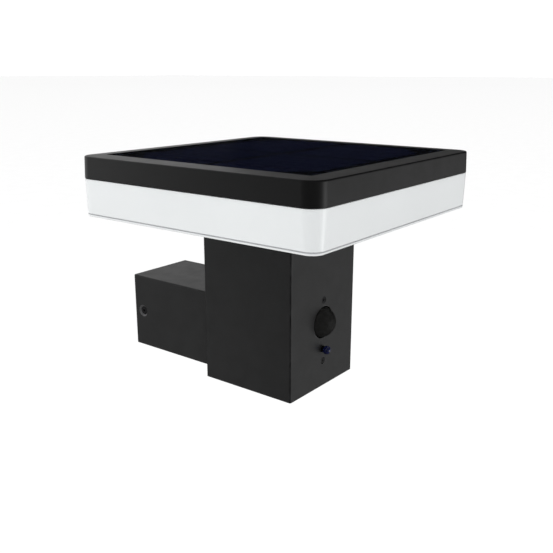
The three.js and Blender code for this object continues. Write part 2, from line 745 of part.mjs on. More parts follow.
function sensorCarrier() {
  const half = CARRIER.width / 2;
  const plate = block([-half, -CARRIER.down, carrierBack], [half, CARRIER.up, carrierFront]);
  const legs = [[-1, -CARRIER.down], [1, -CARRIER.down], [-1, CARRIER.up - 5], [1, CARRIER.up - 5]];
  const feet = legs.map(([side, low]) => {
    const x = side < 0 ? -half : half - 5;
    return block([x, low, -(SENSOR_BOARD_DEPTH - SEAT)], [x + 5, low + 5, carrierBack + PAST]);
  });
  const wells = [
    bar(LENS_FLANGE_RADIUS + FIT, flangeBack - SEAT, PAST, 0, 0, 32),
    bar(LENS_RADIUS - LENS_WALL, carrierBack - PAST, PAST, 0, 0, 32),
    bar(STEM_FLANGE_RADIUS + FIT, stemFlangeBack - BUTTON_TRAVEL - 0.4, PAST, 0, -BUTTON_DOWN),
    bar(2, carrierBack - PAST, PAST, 0, -BUTTON_DOWN, 16),
    bar(1.4, carrierBack - PAST, PAST, 0, UPPER_SCREW_UP, 12),
    bar(1.4, carrierBack - PAST, PAST, 0, -LOWER_SCREW_DOWN, 12),
  ];
  return cut(joined([plate, ...feet]), wells);
}

const sensorBoard = () => {
  const half = CARRIER.width / 2;
  const back = -(SENSOR_BOARD_DEPTH + BOARD_THICK);
  const board = block([-half, -CARRIER.down, back], [half, CARRIER.up, -SENSOR_BOARD_DEPTH]);
  const socket = block([-4, -14, back - 4], [4, -8, back + 0.4]);
  return board.add(socket);
};

// Motion detector in its metal can, with a window recess in the front.
const pyroSensor = () => {
  const back = -(SENSOR_BOARD_DEPTH - SEAT);
  const can = turned([
    [0, back],
    [5, back],
    [5, back + 0.8],
    [4.6, back + 0.8],
    [4.6, back + 4.2],
    [0, back + 4.2],
  ], 24);
  return can.subtract(block([-1.8, -1.4, back + 3.8], [1.8, 1.4, back + 4.2 + PAST]));
};

const sensorScrew = () =>
  screw({ head: "countersunk", headRadius: 2.45, headHeight: 1.3, radius: 1.2, length: 8, drive: "cross" });

function sensorModule() {
  const face = new THREE.Group();
  face.add(part("motion_lens", motionLens(), lensPlastic));
  face.add(part("lens_seal", lensSeal(), rubber));
  face.add(part("sensor_carrier", sensorCarrier(), blackPlastic));
  face.add(part("sensor_board", sensorBoard(), greenBoard));
  face.add(part("pyro_sensor", pyroSensor(), sensorCan));
  face.add(part("tact_switch", tactSwitch(), blackPlastic));
  face.add(part("switch_plunger", switchPlunger(), blackPlastic));
  face.add(part("button_stem", buttonStem(), blackPlastic));
  face.add(part("mode_button", modeButton(), buttonBlue));
  const screws = { upper: UPPER_SCREW_UP, lower: -LOWER_SCREW_DOWN };
  for (const [place, up] of Object.entries(screws)) {
    const mesh = part(`sensor_screw_${place}`, sensorScrew(), blackSteel);
    mesh.position.set(0, up, -SEAT);
    face.add(mesh);
  }
  face.rotation.x = Math.PI / 2;
  face.position.set(0, -columnHalf, sensorZ);
  return face;
}

// ---------------------------------------------------------------- battery and control board
const chassisBack = columnInner - SEAT;
const chassisFront = chassisBack - CHASSIS_THICK;
const holderBack = chassisFront - SEAT - HOLDER_STANDOFF;
const cellY = holderBack - HOLDER_WALL - SEAT - CELL_RADIUS;
const holderFront = cellY - CELL_RADIUS - 2;
const cellX = CELL_RADIUS + 0.9;
const holderHalf = cellX + CELL_RADIUS + SEAT + HOLDER_WALL;
const holderLow = armZ + BATTERY_FOOT;
const holderHigh = holderLow + CELL_LENGTH + 2 * HOLDER_END;
const boardBack = holderFront - SEAT;
const boardFront = boardBack - BOARD_THICK;
const boardLow = holderLow;
const boardHigh = boardLow + CONTROL_BOARD.height;
const boardPinLevels = [boardLow + 4, boardHigh - 4];

function innerChassis() {
  const half = columnInner - PORT_BLOCK - 1;
  const low = footPocket + 4;
  const high = COLUMN_LENGTH - 8;
  const plate = block([-half, chassisFront, low], [half, chassisBack, high]);
  const holes = armScrewPlaces.map(([x, up]) =>
    bar(2.3, -PAST, CHASSIS_THICK + PAST, 0, 0, 16)
      .rotate([-90, 0, 0])
      .translate([x, chassisFront, armZ + up]),
  );
  return cut(plate, holes);
}

function batteryHolder() {
  const outer = block([-holderHalf, holderFront, holderLow], [holderHalf, holderBack, holderHigh]);
  const inner = holderHalf - HOLDER_WALL;
  const endWall = 2;
  const trough = block([-inner, holderFront - PAST, holderLow + endWall],
    [inner, holderBack - HOLDER_WALL, holderHigh - endWall]);
  const window = block([-holderHalf - PAST, holderFront - PAST, holderLow + 10],
    [holderHalf + PAST, cellY, boardHigh - 8]);
  const feet = [holderHigh - 30, holderHigh - 8].map((z) =>
    block([-4, holderBack - HOLDER_WALL / 2, z], [4, chassisFront - SEAT, z + 6]),
  );
  const pins = [-1, 1].flatMap((side) =>
    boardPinLevels.map((z) =>
      bar(1, 0, BOARD_THICK + 2 * SEAT + 1, 0, 0, 12)
        .rotate([90, 0, 0])
        .translate([side * (holderHalf - 1.2), holderFront + 0.5, z]),
    ),
  );
  return joined([cut(outer, [trough, window]), ...feet, ...pins]);
}

function batteryContact(low) {
  const inner = holderHalf - HOLDER_WALL - SEAT;
  const plate = block([-inner, cellY - 6, low], [inner, cellY + 6, low + CONTACT_THICK]);
  return plate;
}

const batteryCell = () => {
  const end = 0.6;
  const nub = 2.8;
  return turned([
    [0, 0],
    [CELL_RADIUS - end, 0],
    [CELL_RADIUS, end],
    [CELL_RADIUS, CELL_LENGTH - 1 - end],
    [CELL_RADIUS - end, CELL_LENGTH - 1],
    [nub, CELL_LENGTH - 1],
    [nub, CELL_LENGTH],
    [0, CELL_LENGTH],
  ], 28);
};

// Places of the board's sockets: middle of each, on the board's front.
const sockets = {
  panel: [9, boardHigh - 6],
  led: [-9, boardHigh - 6],
  sensor: [0, boardLow + 6],
  battery: [15, boardLow + 6],
};

function controlBoard() {
  const half = CONTROL_BOARD.width / 2;
  const board = block([-half, boardFront, boardLow], [half, boardBack, boardHigh]);
  const socketBodies = Object.values(sockets).map(([x, z]) =>
    block([x - 4, boardFront - 5, z - 3], [x + 4, boardFront + 0.4, z + 3]),
  );
  const chip = (x, z, halfX, halfZ, tall) =>
    block([x - halfX, boardFront - tall, z - halfZ], [x + halfX, boardFront + 0.4, z + halfZ]);
  const standing = (x, z, radius, tall) =>
    bar(radius, -0.4, tall, 0, 0, 20)
      .rotate([90, 0, 0])
      .translate([x, boardFront, z]);
  const middle = (boardLow + boardHigh) / 2;
  const components = [
    chip(-8, middle + 6, 3, 2.5, 1.6),
    chip(9, middle - 4, 2.5, 2.5, 1.6),
    chip(-12, middle - 14, 4, 3, 2.2),
    standing(10, middle + 14, 5, 4.5),
    standing(-10, middle - 2, 3.2, 7),
  ];
  const pinHoles = [-1, 1].flatMap((side) =>
    boardPinLevels.map((z) =>
      bar(1.3, -PAST, BOARD_THICK + PAST, 0, 0, 12)
        .rotate([-90, 0, 0])
        .translate([side * (holderHalf - 1.2), boardFront, z]),
    ),
  );
  return cut(joined([board, ...socketBodies, ...components]), pinHoles);
}

function powerPack() {
  const pack = new THREE.Group();
  pack.add(part("inner_chassis", innerChassis(), zincSteel));
  pack.add(part("battery_holder", batteryHolder(), blackPlastic));
  const contacts = {
    lower: holderLow + HOLDER_END - SEAT - CONTACT_THICK,
    upper: holderHigh - HOLDER_END + SEAT,
  };
  for (const [place, low] of Object.entries(contacts))
    pack.add(part(`battery_contact_${place}`, batteryContact(low), zincSteel));
  for (const [place, side] of Object.entries({ left: -1, right: 1 })) {
    const cell = part(`battery_cell_${place}`, batteryCell(), batteryWrap);
    cell.position.set(side * cellX, cellY, holderLow + HOLDER_END);
    pack.add(cell);
  }
  pack.add(part("control_board", controlBoard(), greenBoard));
  return pack;
}

// ---------------------------------------------------------------- cables inside the column
function cable(points) {
  const path = new THREE.CatmullRomCurve3(points.map(([x, y, z]) => new THREE.Vector3(x, y, z)));
  const section = new THREE.Shape();
  section.absarc(0, 0, CABLE_RADIUS, 0, 2 * Math.PI, false);
  const steps = 6 * (points.length - 1);
  const options = { steps, extrudePath: path, curveSegments: 4, bevelEnabled: false };
  return solidFrom(new THREE.ExtrudeGeometry(section, options));
}

function cables() {
  const runs = new THREE.Group();
  const headZ = capFoot - footZ;
  const backingLow = headZ + backingTop - BACKING_THICK;
  const socketTop = (name) => sockets[name][1] + 3 + FIT;
  const socketY = boardFront - 2.5;
  const [panelX] = sockets.panel;
  const [ledX] = sockets.led;
  const panelRun = [
    [4, 4, backingLow - FIT],
    [4, 4, headZ],
    [5, 2, COLUMN_LENGTH + 4],
    [panelX, socketY, socketTop("panel") + 8],
    [panelX, socketY, socketTop("panel")],
  ];
  const boardEdge = neckHole + 4;
  const notchZ = headZ + WEB_LIFT - SEAT - 3;
  const ledRun = [
    [boardEdge, 0, headZ + ledBoardTop - LED_BOARD_THICK - REFLECTOR_THICK - 2 * SEAT - FIT],
    [boardEdge - 1, 0, notchZ - 2.5],
    [spacerHalf - 2, 0, notchZ],
    [spacerHalf - 12, 0, notchZ - 2],
    [0, -2, COLUMN_LENGTH + 8],
    [-4, -3, COLUMN_LENGTH - 6],
    [ledX, socketY, socketTop("led") + 6],
    [ledX, socketY, socketTop("led")],
  ];
  const sensorSocketY = behindFace(SENSOR_BOARD_DEPTH + BOARD_THICK + 4 + FIT);
  const sensorRun = [
    [0, sensorSocketY, sensorZ - 11],
    [0, sensorSocketY + 5, sensorZ - 12],
    [0, (sensorSocketY + boardFront) / 2, sensorZ - 16],
    [0, boardFront - 9, sockets.sensor[1]],
    [0, boardFront - 5 - FIT, sockets.sensor[1]],
  ];
  const [batteryX, batteryZ] = sockets.battery;
  const batteryRun = [
    [batteryX, cellY, holderLow - FIT],
    [batteryX, cellY, holderLow - 4],
    [batteryX, (cellY + socketY) / 2, holderLow - 8],
    [batteryX, socketY, holderLow - 5],
    [batteryX, socketY, batteryZ - 3 - FIT],
  ];
  const routes = {
    panel_cable: panelRun,
    led_cable: ledRun,
    sensor_cable: sensorRun,
    battery_cable: batteryRun,
  };
  for (const [name, points] of Object.entries(routes)) runs.add(part(name, cable(points), cableJacket));
  return runs;
}

function column() {
  const group = new THREE.Group();
  group.add(part("column_tube", columnTube(), anthracite));
  group.add(part("column_foot", columnFoot(), anthracite));
  group.add(part("foot_seal", footSeal(), rubber));
  group.add(part("neck_seal", neckSeal(), rubber));
  atCorners(portAt).forEach(([x, y], i) => {
    const mesh = part(`foot_screw_${i + 1}`, screw(FOOT_SCREW), zincSteel);
    mesh.rotation.x = Math.PI;
    mesh.position.set(x, y, SEAT + 0.1);
    group.add(mesh);
  });
  armScrewPlaces.forEach(([x, up], i) => {
    const mesh = part(`arm_screw_${i + 1}`, screw(ARM_SCREW), zincSteel);
    mesh.rotation.x = Math.PI / 2;
    mesh.position.set(x, chassisFront - SEAT - ARM_SCREW.headHeight, armZ + up);
    group.add(mesh);
  });
  group.add(sensorModule(), powerPack(), cables());
  group.position.z = footZ;
  return group;
}

// ---------------------------------------------------------------- arm and wall bracket
// Their frame has its z along the arm, out from the wall; x across and y up.
const clampSeat = ARM_SIDE / 2 - CLAMP_SINK; // top of a clamp screw's head
const flangeOuter = armInner - FIT;

function armTube() {
  const outline = rectangle(ARM_SIDE / 2, ARM_SIDE / 2, ARM_EDGE);
  outline.holes.push(rectangleHole(armInner, armInner, 0));
  const tube = slab(outline, 0, ARM_LENGTH - SEAT, 4);
  const half = ARM_PORT_BLOCK / 2;
  const blocks = armScrewPlaces.map(([x, up]) =>
    block([x - half, up > 0 ? up - half : -armInner - 0.5, BRACKET_THICK + 4],
      [x + half, up > 0 ? armInner + 0.5 : up + half, ARM_LENGTH - SEAT]),
  );
  const ports = armScrewPlaces.map(([x, up]) =>
    bar(PORT_RADIUS, ARM_LENGTH - 30, ARM_LENGTH + PAST, x, up, 16),
  );
  const narrow = CLAMP_RADIUS + FIT;
  const seat = CLAMP_SINK + CLAMP_HEAD_HEIGHT + SEAT;
  const sink = turned([
    [0, -ARM_WALL - PAST],
    [narrow, -ARM_WALL - PAST],
    [narrow, -seat],
    [CLAMP_MOUTH_RADIUS, 0],
    [CLAMP_MOUTH_RADIUS, PAST],
    [0, PAST],
  ], 28);
  const sinks = [-1, 1].map((side) =>
    sink.rotate([0, side * 90, 0]).translate([(side * ARM_SIDE) / 2, 0, CLAMP_AT]),
  );
  return cut(joined([tube, ...blocks]), [...ports, ...sinks]);
}

function wallBracket() {
  const back = slab(rectangle(flangeOuter, BRACKET_HALF_HEIGHT, 0), 0, BRACKET_THICK);
  const wings = [-1, 1].map((side) => {
    const middle = side * (flangeOuter - BRACKET_THICK / 2);
    const size = [BRACKET_THICK, 2 * BRACKET_HALF_HEIGHT, BRACKET_DEPTH];
    return centredBox([middle, 0, BRACKET_DEPTH / 2], size);
  });
  const slotShape = rectangle(SLOT_LENGTH / 2, SLOT_WIDTH / 2, SLOT_WIDTH / 2 - 0.01);
  const slots = [-1, 1].map((side) =>
    slab(slotShape, -PAST, BRACKET_THICK + PAST).translate([side * SLOT_AT, 0, 0]),
  );
  const holes = [-1, 1].map((side) => bar(2.3, -PAST, BRACKET_THICK + PAST, 0, side * 11.5, 20));
  const notchHalf = CLAMP_NUT.boss / 2 + FIT;
  const notches = [-1, 1].map((side) =>
    centredBox(
      [side * (flangeOuter - BRACKET_THICK / 2), 0, (CLAMP_AT - notchHalf + BRACKET_DEPTH + PAST) / 2],
      [BRACKET_THICK * 2, 2 * notchHalf, BRACKET_DEPTH + PAST - CLAMP_AT + notchHalf],
    ),
  );
  return cut(joined([back, ...wings]), [...slots, ...holes, ...notches]);
}

const clampScrew = () =>
  screw({
    head: "countersunk",
    headRadius: CLAMP_HEAD_RADIUS,
    headHeight: CLAMP_HEAD_HEIGHT,
    radius: CLAMP_RADIUS,
    length: CLAMP_LENGTH,
    drive: "hex",
  });

// Plate nut inside each bracket wing; its square boss stands in the wing's slot and keeps it from turning.
function clampNut() {
  const { width, height, thick, boss } = CLAMP_NUT;
  const proud = thick + SEAT + BRACKET_THICK - FIT;
  const plate = centredBox([0, 0, thick / 2], [width, height, thick]);
  const key = centredBox([0, 0, (thick + proud) / 2 - 0.5], [boss, boss, proud - thick + 1]);
  return plate.add(key).subtract(bar(CLAMP_RADIUS + 0.15, -PAST, proud + PAST, 0, 0, 20));
}

function armAndBracket() {
  const group = new THREE.Group();
  group.add(part("arm_tube", armTube(), anthracite));
  group.add(part("wall_bracket", wallBracket(), zincSteel));
  for (const [place, side] of Object.entries({ left: -1, right: 1 })) {
    const clamp = new THREE.Group();
    const bolt = part(`clamp_screw_${place}`, clampScrew(), blackSteel);
    bolt.position.z = clampSeat;
    const nut = part(`clamp_nut_${place}`, clampNut(), zincSteel);
    nut.position.z = flangeOuter - BRACKET_THICK - SEAT - CLAMP_NUT.thick;
    clamp.add(bolt, nut);
    clamp.rotation.y = (side * Math.PI) / 2;
    clamp.position.z = CLAMP_AT;
    group.add(clamp);
  }
  group.rotation.x = Math.PI / 2;
  return group;
}

// ---------------------------------------------------------------- assembly
const lamp = new THREE.Group();
const upright = new THREE.Group();
upright.add(solarHead(), column());
upright.position.y = headY;
lamp.add(upright, armAndBracket());

export default lamp;
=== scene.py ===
"""Looks of a solar wall light with a motion sensor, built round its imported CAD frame. Metres, +Z up.

The lamp's bracket is on the wall plane y = 0 and the lamp stands out along -Y, as in the frame.
"""

import json
import math

import bmesh
import bpy
from mathutils import Matrix, Vector


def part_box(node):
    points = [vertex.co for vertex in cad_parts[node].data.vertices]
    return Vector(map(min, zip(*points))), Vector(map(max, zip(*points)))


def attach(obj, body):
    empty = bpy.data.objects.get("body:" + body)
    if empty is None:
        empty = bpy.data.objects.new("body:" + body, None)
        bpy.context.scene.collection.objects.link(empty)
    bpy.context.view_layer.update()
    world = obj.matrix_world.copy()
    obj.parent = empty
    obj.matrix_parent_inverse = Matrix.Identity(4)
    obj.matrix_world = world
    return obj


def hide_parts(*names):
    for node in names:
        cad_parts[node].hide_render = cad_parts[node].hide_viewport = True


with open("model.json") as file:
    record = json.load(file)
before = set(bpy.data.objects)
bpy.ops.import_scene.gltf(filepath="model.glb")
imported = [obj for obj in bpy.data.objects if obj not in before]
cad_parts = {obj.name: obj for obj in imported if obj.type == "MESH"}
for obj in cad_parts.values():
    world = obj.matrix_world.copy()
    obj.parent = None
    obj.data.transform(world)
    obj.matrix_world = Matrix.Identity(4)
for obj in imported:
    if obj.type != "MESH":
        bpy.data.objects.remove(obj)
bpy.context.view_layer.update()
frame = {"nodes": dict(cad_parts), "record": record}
scene = bpy.context.scene
MM = 0.001

# ---------------------------------------------------------------- sizes that the frame doesn't give
HEAD_CORNER = 11.5 * MM
CAP_WALL = 2.5 * MM
CAP_DRAFT = 0.4 * MM
RIM_FALL = 0.6 * MM
RIM_ROUND = 1.0 * MM
POCKET_FIT = 0.3 * MM
POCKET_CORNER = 1 * MM
DIFFUSER_WALL = 2.2 * MM
DIFFUSER_DRAFT = 1.2 * MM
DIFFUSER_FOOT_CORNER = 8.5 * MM
GROOVE_ABOVE_FOOT = 1.9 * MM
GROOVE_DEPTH = 0.5 * MM
STRIP_GAP = 2.8 * MM
STRIPS = 4
WAFER_CHAMFER = 22 * MM
COLUMN_EDGE = 1.2 * MM
COLUMN_WALL = 2.5 * MM
PORT_BLOCK = 8.5 * MM
PORT_RADIUS = 2 * MM
LENS_RADIUS = 11.3 * MM
LENS_CLEAR = 0.8 * MM
LENS_WALL = 1.0 * MM
LENS_FLANGE_THICK = 1.5 * MM
STEM_RADIUS = 2.2 * MM
STEM_PIN_RADIUS = 1.3 * MM
ARM_EDGE = 0.8 * MM
ARM_WALL = 3 * MM
ARM_PORT_BLOCK = 8 * MM
CLAMP_MOUTH = 4.9 * MM
CLAMP_HOLE = 2.3 * MM
SHEET_BEND = 2.6 * MM
BRACKET_SHEET = 2 * MM
LENSLET = 3.9 * MM  # across the flats
LENSLET_GROOVE = 0.16 * MM
LENS_SEGMENTS = 120
FINGER_PITCH = 1.7 * MM
SEAT = 0.2 * MM  # gap between pieces that rest on each other


def middle(node):
    low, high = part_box(node)
    return (low + high) / 2


head_axis = middle("top_cap")
column_low, column_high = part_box("column_tube")
arm_low, arm_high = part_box("arm_tube")
lens_low, lens_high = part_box("motion_lens")
sensor_axis = middle("motion_lens")
column_face = column_low.y


# ---------------------------------------------------------------- shader helpers
class Shader:
    """A node material with a Principled surface, in the object's own coordinates."""

    def __init__(self, name, colour, roughness, metallic=0.0):
        self.material = bpy.data.materials.new(name)
        self.material.use_nodes = True
        self.nodes = self.material.node_tree.nodes
        self.links = self.material.node_tree.links
        self.surface = self.nodes["Principled BSDF"]
        self.surface.inputs["Metallic"].default_value = metallic
        self.surface.inputs["Base Color"].default_value = (*colour, 1)
        self.surface.inputs["Roughness"].default_value = roughness
        self.place = self.nodes.new("ShaderNodeTexCoord").outputs["Object"]

    def set(self, **values):
        for name, value in values.items():
            self.surface.inputs[name.replace("_", " ")].default_value = value
        return self

    def stretched(self, scale):
        mapping = self.nodes.new("ShaderNodeMapping")
        mapping.inputs["Scale"].default_value = scale
        self.links.new(self.place, mapping.inputs["Vector"])
        return mapping.outputs["Vector"]

    def axes(self):
        """The object's X, Y and Z coordinates."""
        separate = self.nodes.new("ShaderNodeSeparateXYZ")
        self.links.new(self.place, separate.inputs[0])
        return separate.outputs

    def noise(self, scale, detail=3.0, roughness=0.5, stretch=(1, 1, 1)):
        """Noise whose features are about 1 / scale metres across."""
        node = self.nodes.new("ShaderNodeTexNoise")
        node.inputs["Scale"].default_value = scale
        node.inputs["Detail"].default_value = detail
        node.inputs["Roughness"].default_value = roughness
        self.links.new(self.stretched(stretch), node.inputs["Vector"])
        return node.outputs["Fac"]

    def ramp(self, value, low, high, start=0.3, stop=0.7):
        """Maps value's start..stop to low..high, which are both numbers or both colours."""
        if isinstance(low, tuple):
            node = self.nodes.new("ShaderNodeValToRGB")
            node.color_ramp.elements[0].position = start
            node.color_ramp.elements[1].position = stop
            node.color_ramp.elements[0].color = (*low, 1)
            node.color_ramp.elements[1].color = (*high, 1)
            self.links.new(value, node.inputs["Fac"])
            return node.outputs["Color"]
        node = self.nodes.new("ShaderNodeMapRange")
        for name, number in (("From Min", start), ("From Max", stop), ("To Min", low), ("To Max", high)):
            node.inputs[name].default_value = number
        self.links.new(value, node.inputs["Value"])
        return node.outputs["Result"]

    def math(self, operation, a, b=None):
        node = self.nodes.new("ShaderNodeMath")
        node.operation = operation
        for socket, value in zip(node.inputs, (a, b)):
            if value is None:
                continue
            if isinstance(value, (int, float)):
                socket.default_value = value
            else:
                self.links.new(value, socket)
        return node.outputs[0]

    def mix(self, factor, a, b):
        node = self.nodes.new("ShaderNodeMix")
        node.data_type = "RGBA"
        self.links.new(factor, node.inputs["Factor"])
        for socket, value in ((node.inputs[6], a), (node.inputs[7], b)):
            if isinstance(value, tuple):
                socket.default_value = (*value, 1)
            else:
                self.links.new(value, socket)
        return node.outputs[2]

    def colour(self, value):
        self.links.new(value, self.surface.inputs["Base Color"])
        return self

    def rough(self, value):
        self.links.new(value, self.surface.inputs["Roughness"])
        return self

    def bump(self, height, depth, strength=1.0):
        """Bump of the given depth in metres; a second call adds to the first."""
        node = self.nodes.new("ShaderNodeBump")
        node.inputs["Distance"].default_value = depth
        node.inputs["Strength"].default_value = strength
        self.links.new(height, node.inputs["Height"])
        earlier = self.surface.inputs["Normal"].links
        if earlier:
            self.links.new(earlier[0].from_socket, node.inputs["Normal"])
        self.links.new(node.outputs["Normal"], self.surface.inputs["Normal"])
        return self

    def edges(self, radius=0.0007):
        """1 on edges and 0 elsewhere, in patches: how far a rounded normal leans from the true one. It
        marks worn edges, and on the powder coat painted edge highlights as well.
        """
        rounded = self.nodes.new("ShaderNodeBevel")
        rounded.samples = 4
        rounded.inputs["Radius"].default_value = radius
        geometry = self.nodes.new("ShaderNodeNewGeometry")
        dot = self.nodes.new("ShaderNodeVectorMath")
        dot.operation = "DOT_PRODUCT"
        self.links.new(rounded.outputs["Normal"], dot.inputs[0])
        self.links.new(geometry.outputs["Normal"], dot.inputs[1])
        lean = self.ramp(dot.outputs["Value"], 1.0, 0.0, 0.8, 0.99)
        return self.math("MULTIPLY", lean, self.ramp(self.noise(160, 4, 0.65), 0.0, 1.0, 0.42, 0.62))


def shade(colour, factor):
    return tuple(min(1.0, channel * factor) for channel in colour)


ANTHRACITE = (0.0064, 0.0065, 0.0069)


def powder_coat(name, roughness=0.46, for_extrusion=False):
    """Fine-textured powder coat with orange peel, faint dust and edges lightened as wear and painted
    highlight.
    for_extrusion leaves the clamp screws' countersinks bare and paints its edge highlight much brighter."""
    colour = ANTHRACITE
    s = Shader(name, colour, roughness)
    s.set(Specular_IOR_Level=0.5)
    cloud = s.noise(14, 4, 0.6)
    base = s.ramp(cloud, shade(colour, 0.96), shade(colour, 1.04), 0.35, 0.65)
    dust = s.ramp(s.noise(420, 5, 0.7), 0.0, 0.22, 0.55, 0.78)
    dusty = s.mix(dust, base, shade(colour, 1.9))
    # edges lightened partly as wear and partly as a painted highlight where the rounded edge catches the
    # light; on the extrusion 20 times brighter, a painted highlight line along its corners
    edge_mask = s.edges(0.0013 if for_extrusion else 0.0007)
    coat = s.mix(s.math("MULTIPLY", edge_mask, 0.55), dusty, shade(colour, 20.0 if for_extrusion else 2.6))
    if for_extrusion:
        bare = clamp_mouth_mask(s)
        coat = s.mix(bare, coat, (0.17, 0.17, 0.175))
        s.links.new(s.math("MULTIPLY", bare, 0.6), s.surface.inputs["Metallic"])
    s.colour(coat)
    s.rough(s.ramp(s.noise(90, 4, 0.6), roughness - 0.03, roughness + 0.03))
    s.bump(s.noise(2600, 3, 0.6), 0.00003, 0.5)
    s.bump(s.noise(650, 2, 0.5), 0.00004, 0.35)
    return s.material


def clamp_mouth_mask(s):
    """1 inside the arm's two countersinks, a hair below its painted sides, and 0 elsewhere."""
    across, along, up = s.axes()
    along = s.math("SUBTRACT", along, middle("clamp_screw_left").y)
    distance = s.math("SQRT", s.math("ADD", s.math("MULTIPLY", along, along), s.math("MULTIPLY", up, up)))
    near = s.math("LESS_THAN", distance, CLAMP_MOUTH)
    below = s.math("LESS_THAN", s.math("ABSOLUTE", across), arm_high.x - 0.08 * MM)
    return s.math("MULTIPLY", near, below)


def frosted_plastic(name):
    """Opal polycarbonate that scatters light inside its wall, with painted shade along the scribed groove
    above its foot.
    """
    colour = (0.755, 0.778, 0.783)
    s = Shader(name, colour, 0.42)
    s.set(Subsurface_Weight=0.25, Subsurface_Radius=(0.006, 0.006, 0.006), Subsurface_Scale=1.0)
    s.set(Coat_Weight=0.6, Coat_Roughness=0.35)
    cloud = s.ramp(s.noise(9, 3, 0.5), shade(colour, 0.975), shade(colour, 1.015), 0.3, 0.7)
    line_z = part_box("diffuser")[0].z + GROOVE_ABOVE_FOOT
    from_line = s.math("ABSOLUTE", s.math("SUBTRACT", s.axes()["Z"], line_z))
    # painted shade: the wall turns grey along the scribed groove above the foot, where shade falls in the
    # recess
    groove_shade = s.ramp(from_line, 1.0, 0.0, 0.0003, 0.0007)
    s.colour(s.mix(groove_shade, cloud, (0.46, 0.47, 0.48)))
    s.rough(s.ramp(s.noise(70, 4, 0.6), 0.37, 0.5))
    s.bump(s.noise(3000, 2, 0.5), 0.00002, 0.35)
    return s.material


def panel_glass(name):
    """Low-iron cover sheet with a fine anti-glare texture."""
    s = Shader(name, (0.004, 0.005, 0.009), 0.22)
    s.set(Alpha=0.28, Specular_IOR_Level=0.00003)
    s.rough(s.ramp(s.noise(240, 4, 0.6), 0.16, 0.3))
    s.bump(s.noise(1800, 2, 0.5), 0.00001, 0.3)
    return s.material


def solar_cell(name):
    """Navy mono silicon with fine printed fingers across each strip."""
    navy = (0.0058, 0.0070, 0.0235)
    s = Shader(name, navy, 0.34)
    s.set(Specular_IOR_Level=0.0)
    phase = s.math("FRACT", s.math("MULTIPLY", s.axes()["Y"], 1 / FINGER_PITCH))
    finger = s.math("LESS_THAN", phase, 0.09)
    mottled = s.ramp(s.noise(45, 4, 0.6), shade(navy, 0.8), shade(navy, 1.2), 0.3, 0.7)
    s.colour(s.mix(s.math("MULTIPLY", finger, 0.35), mottled, (0.06, 0.065, 0.09)))
    s.rough(s.ramp(s.noise(300, 3, 0.6), 0.28, 0.42))
    s.bump(s.noise(2500, 2, 0.5), 0.00001, 0.3)
    return s.material


def moulded_plastic(name, colour, roughness=0.55, grain=1400, coat=0.0, specular=0.5):
    """Injection-moulded plastic with a spark-eroded grain."""
    s = Shader(name, colour, roughness)
    s.set(Coat_Weight=coat, Coat_Roughness=0.08, Specular_IOR_Level=specular)
    s.colour(s.ramp(s.noise(60, 4, 0.6), shade(colour, 0.85), shade(colour, 1.15), 0.3, 0.7))
    s.rough(s.ramp(s.noise(180, 4, 0.6), max(0.03, roughness - 0.07), roughness + 0.08))
    s.bump(s.noise(grain, 3, 0.6), 0.00003, 0.4)
    return s.material


def zinc_steel(name, colour=(0.46, 0.47, 0.49)):
    """Bright zinc plate: drawn along its length, with cloudy patches."""
    s = Shader(name, colour, 0.36, 0.92)
    patches = s.noise(80, 5, 0.65)
    drawn = s.noise(900, 3, 0.6, (1, 0.06, 1))
    tone = s.math("ADD", s.math("MULTIPLY", patches, 0.6), s.math("MULTIPLY", drawn, 0.4))
    s.colour(s.ramp(tone, shade(colour, 0.72), shade(colour, 1.25), 0.35, 0.65))
    s.rough(s.ramp(drawn, 0.26, 0.48))
    s.bump(drawn, 0.00002, 0.4)
    return s.material


def black_oxide(name):
    colour = (0.012, 0.012, 0.013)
    s = Shader(name, colour, 0.38, 0.75)
    edge_mask = s.edges(0.0003)
    base = s.ramp(s.noise(500, 4, 0.6), shade(colour, 0.7), shade(colour, 1.4), 0.3, 0.7)
    s.colour(s.mix(s.math("MULTIPLY", edge_mask, 0.6), base, (0.12, 0.115, 0.11)))
    s.rough(s.ramp(s.noise(900, 3, 0.6), 0.3, 0.5))
    s.bump(s.noise(3000, 2, 0.6), 0.00002, 0.4)
    return s.material


def soft_rubber(name):
    colour = (0.020, 0.020, 0.021)
    s = Shader(name, colour, 0.85)
    s.set(Sheen_Weight=0.15, Sheen_Roughness=0.5)
    s.colour(s.ramp(s.noise(120, 4, 0.6), shade(colour, 0.75), shade(colour, 1.3), 0.3, 0.7))
    s.rough(s.ramp(s.noise(400, 3, 0.6), 0.76, 0.95))
    s.bump(s.noise(1500, 3, 0.6), 0.00005, 0.5)
    return s.material


def circuit_board(name, colour=(0.012, 0.075, 0.034)):
    """Solder mask over copper tracks."""
    s = Shader(name, colour, 0.3)
    tracks = s.nodes.new("ShaderNodeTexBrick")
    tracks.inputs["Scale"].default_value = 170
    tracks.inputs["Mortar Size"].default_value = 0.03
    s.links.new(s.place, tracks.inputs["Vector"])
    s.colour(s.mix(tracks.outputs["Fac"], shade(colour, 0.9), shade(colour, 2.0)))
    s.rough(s.ramp(s.noise(200, 3, 0.6), 0.24, 0.42))
    s.bump(tracks.outputs["Fac"], 0.00003, 0.4)
    return s.material


def lens_plastic(name):
    """Dark polyethylene of the motion lens, slightly waxy."""
    colour = (0.0112, 0.0110, 0.0106)
    s = Shader(name, colour, 0.34)
    s.set(Specular_IOR_Level=0.04)
    s.colour(s.ramp(s.noise(300, 4, 0.6), shade(colour, 0.85), shade(colour, 1.2), 0.3, 0.7))
    s.rough(s.ramp(s.noise(900, 3, 0.6), 0.28, 0.42))
    s.bump(s.noise(4000, 2, 0.5), 0.00001, 0.4)
    return s.material


